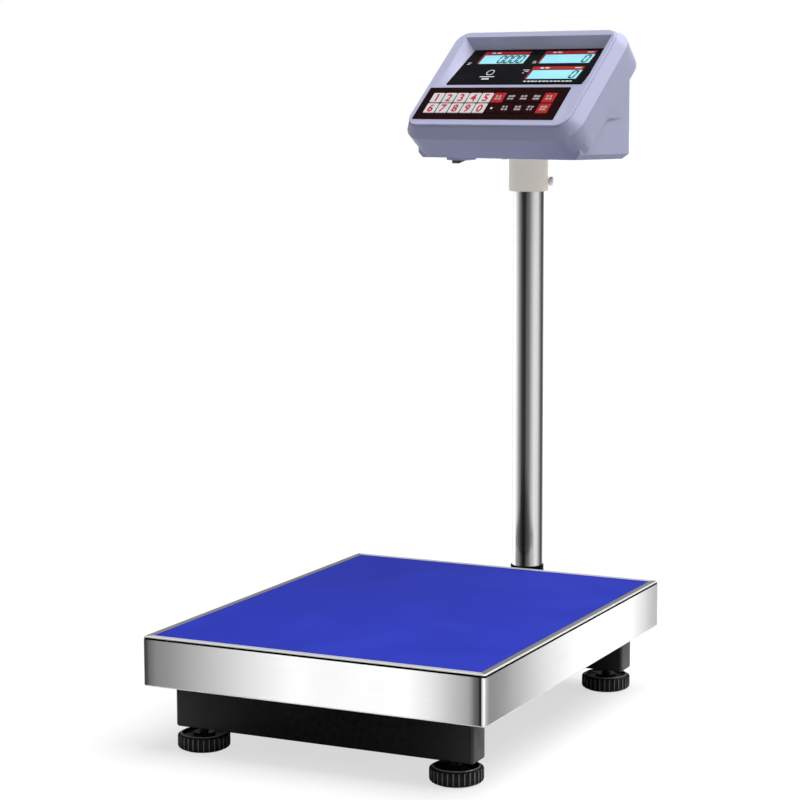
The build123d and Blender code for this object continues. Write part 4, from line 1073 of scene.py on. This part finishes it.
def makeKey(name, x, y):
    # a tile with a shallow dish: rings of the rounded outline shrink to the middle as the face sinks
    node = "key_" + name
    width, height = keySizes["size"]
    top, corner = keySizes["top"], keySizes["corner"]
    section = [(0.0006, top - keySizes["thickness"]), (0.0, top - keySizes["thickness"] + 0.0003),
               (0.0, top - 0.0005),
               (0.0001, top - 0.0002), (0.0004, top), (0.0012, top), (0.0026, top - keySizes["dish"]),
               (0.0052, top - keySizes["dish"])]
    rings = []
    for inset, level in section:
        flat = cornerRing(width - 2 * inset, height - 2 * inset, corner - inset * 0.15,
                          5) + np.array((x, y))
        rings.append(np.column_stack([flat, np.full(len(flat), level)]))
    patches = [gridPatch(onFace(np.array(rings)), 0, True, True, True)]
    stem = latheRings([(keySizes["stem"], -0.0005), (keySizes["stem"], keySizes["stemEnd"])],
                      onFace((x, y, 0.0)), acrossHead, faceOut, 24)
    patches.append(gridPatch(stem, 0, True, True, True))
    face = top - keySizes["dish"]
    if name.isdigit():
        patches.append(digitPatch(name, (x, y), face + 0.00006, 1))
        colours = [finish["whiteKey"], finish["keyInk"]]
    elif name == "point":
        spot = cornerRing(0.0034, 0.0034, 0.0017, 5) + np.array((x - 0.001, y))
        patches.append(inkPatch(onFace, spot, face, 0.00008, 1))
        colours = [finish["darkKey"], finish["whiteInk"]]
    else:
        patches += functionMarks(name, x, y, face)
        colours = [finish["redKey"] if name in redKeys else finish["darkKey"], finish["legend"]]
    makePiece("key" + name.capitalize(), patches, colours, node + "_cap", (node,), 40.0)


for row, names in enumerate(keyRows):
    for column, name in enumerate(names):
        keyX = keySizes["left"] + keySizes["size"][0] / 2 + column * keySizes["pitch"][0]
        makeKey(name, keyX, keySizes["row"] - row * keySizes["pitch"][1])
bevelledCopy("keypadFilm", "keypad_overlay", finish["film"], "head", 0.00015, 2)
print("keys made")

keptFinish = {
    "blackened": ["foot_weld_nuts"],
    "rubber": ["pan_bumpers", "signal_cable"],
    "zinc": ["cell_base_bolts", "overload_stops", "pole_bracket_bolts", "cell_top_screws", "head_screws"],
    "paint": ["carrier_frame"],
    "castCell": ["load_cell"],
    "brass": ["clamp_pad"],
    "board": ["main_board"],
    "batteryCase": ["battery"],
}
for kind, names in keptFinish.items():
    for name in names:
        nodes[name].data.materials.clear()
        nodes[name].data.materials.append(finish[kind])
print("kept nodes finished")

studio = {
    "floorTone": 0.93,
    "floorBounce": 0.22,       # tone that the floor shows to scattered light
    "floorGlow": 0.66,         # share of the floor's seen white that no shadow dims
    "skyShare": 0.8,           # share of the sky's light that scattered light takes
    "skyLow": 0.22,
    "skyHigh": 0.5,
    "sunStrength": 3.05,
    "sunAngle": 50.0,
    "sunAim": (-0.34, -0.18, -1.0),
    "fillStrength": 0.35,
    "camera": (1.1204, -2.2970, 0.6954),
    "yaw": 24.85,        # degrees the view turns left of +Y
    "pitch": 7.46,       # degrees below level
    "lens": 104.2,
    "shift": -0.075,
}


def makeFloor():
    # a large pale floor; scattered light sees it darker, so that undersides stay deep
    side = 40.0
    corners = np.array([(-side, -side, 0), (side, -side, 0), (side, side, 0), (-side, side, 0)], float)
    mesh = bpy.data.meshes.new("studioFloor")
    mesh.from_pydata(corners.tolist(), [], [(0, 1, 2, 3)])
    floor = bpy.data.objects.new("studioFloor", mesh)
    bpy.context.scene.collection.objects.link(floor)
    material, tree, shader, place = startMaterial("studioPaper", 0.9)
    shader.inputs["Specular IOR Level"].default_value = 0.0
    rays = tree.nodes.new("ShaderNodeLightPath")
    bounce = rangeOf(tree, rays.outputs["Is Diffuse Ray"], studio["floorTone"], studio["floorBounce"])
    seen = studio["floorTone"] * (1.0 - studio["floorGlow"])
    paper = mixColour(tree, rays.outputs["Is Camera Ray"], bounce, (seen, seen, seen))
    tree.links.new(paper, shader.inputs["Base Color"])
    glow = rangeOf(tree, rays.outputs["Is Camera Ray"], 0.0, studio["floorGlow"])
    shader.inputs["Emission Color"].default_value = (1, 1, 1, 1)
    tree.links.new(glow, shader.inputs["Emission Strength"])
    mesh.materials.append(material)


def makeWorld():
    # white behind the object; the light that it gives rises from skyLow at the horizon to skyHigh overhead
    world = bpy.data.worlds.new("studioWorld")
    world.use_nodes = True
    tree = world.node_tree
    white = tree.nodes["Background"]
    white.inputs["Color"].default_value = (1, 1, 1, 1)
    place = tree.nodes.new("ShaderNodeTexCoord").outputs["Generated"]
    split = tree.nodes.new("ShaderNodeSeparateXYZ")
    tree.links.new(place, split.inputs[0])
    sky = tree.nodes.new("ShaderNodeBackground")
    rays = tree.nodes.new("ShaderNodeLightPath")
    height = rangeOf(tree, split.outputs["Z"], studio["skyLow"], studio["skyHigh"])
    share = rangeOf(tree, rays.outputs["Is Diffuse Ray"], 1.0, studio["skyShare"])
    tree.links.new(mathNode(tree, "MULTIPLY", height, share), sky.inputs["Strength"])
    sky.inputs["Color"].default_value = (1, 1, 1, 1)
    choose = tree.nodes.new("ShaderNodeMixShader")
    tree.links.new(rays.outputs["Is Camera Ray"], choose.inputs[0])
    tree.links.new(sky.outputs[0], choose.inputs[1])
    tree.links.new(white.outputs[0], choose.inputs[2])
    tree.links.new(choose.outputs[0], tree.nodes["World Output"].inputs["Surface"])
    bpy.context.scene.world = world


def softSun(name, aim, strength, angle):
    lamp = bpy.data.lights.new(name, "SUN")
    lamp.energy = strength
    lamp.angle = math.radians(angle)
    holder = bpy.data.objects.new(name, lamp)
    holder.location = (0.0, 0.0, 3.0)
    holder.rotation_euler = Vector(aim).to_track_quat("-Z", "Y").to_euler()
    bpy.context.scene.collection.objects.link(holder)


def makeCamera():
    data = bpy.data.cameras.new("studioCamera")
    data.lens = studio["lens"]
    data.sensor_width = 36.0
    data.shift_x = studio["shift"]
    data.clip_start, data.clip_end = 0.05, 60.0
    camera = bpy.data.objects.new("studioCamera", data)
    yaw, pitch = math.radians(studio["yaw"]), math.radians(studio["pitch"])
    forward = Vector((-math.sin(yaw) * math.cos(pitch), math.cos(yaw) * math.cos(pitch), -math.sin(pitch)))
    camera.location = studio["camera"]
    camera.rotation_euler = forward.to_track_quat("-Z", "Y").to_euler()
    bpy.context.scene.collection.objects.link(camera)
    bpy.context.scene.camera = camera


makeFloor()
makeWorld()
softSun("overheadLight", studio["sunAim"], studio["sunStrength"], studio["sunAngle"])
softSun("rightFill", (-1.0, -0.1, -0.35), studio["fillStrength"], 40.0)
makeCamera()
bpy.context.scene.view_settings.view_transform = "Standard"
print("studio made")
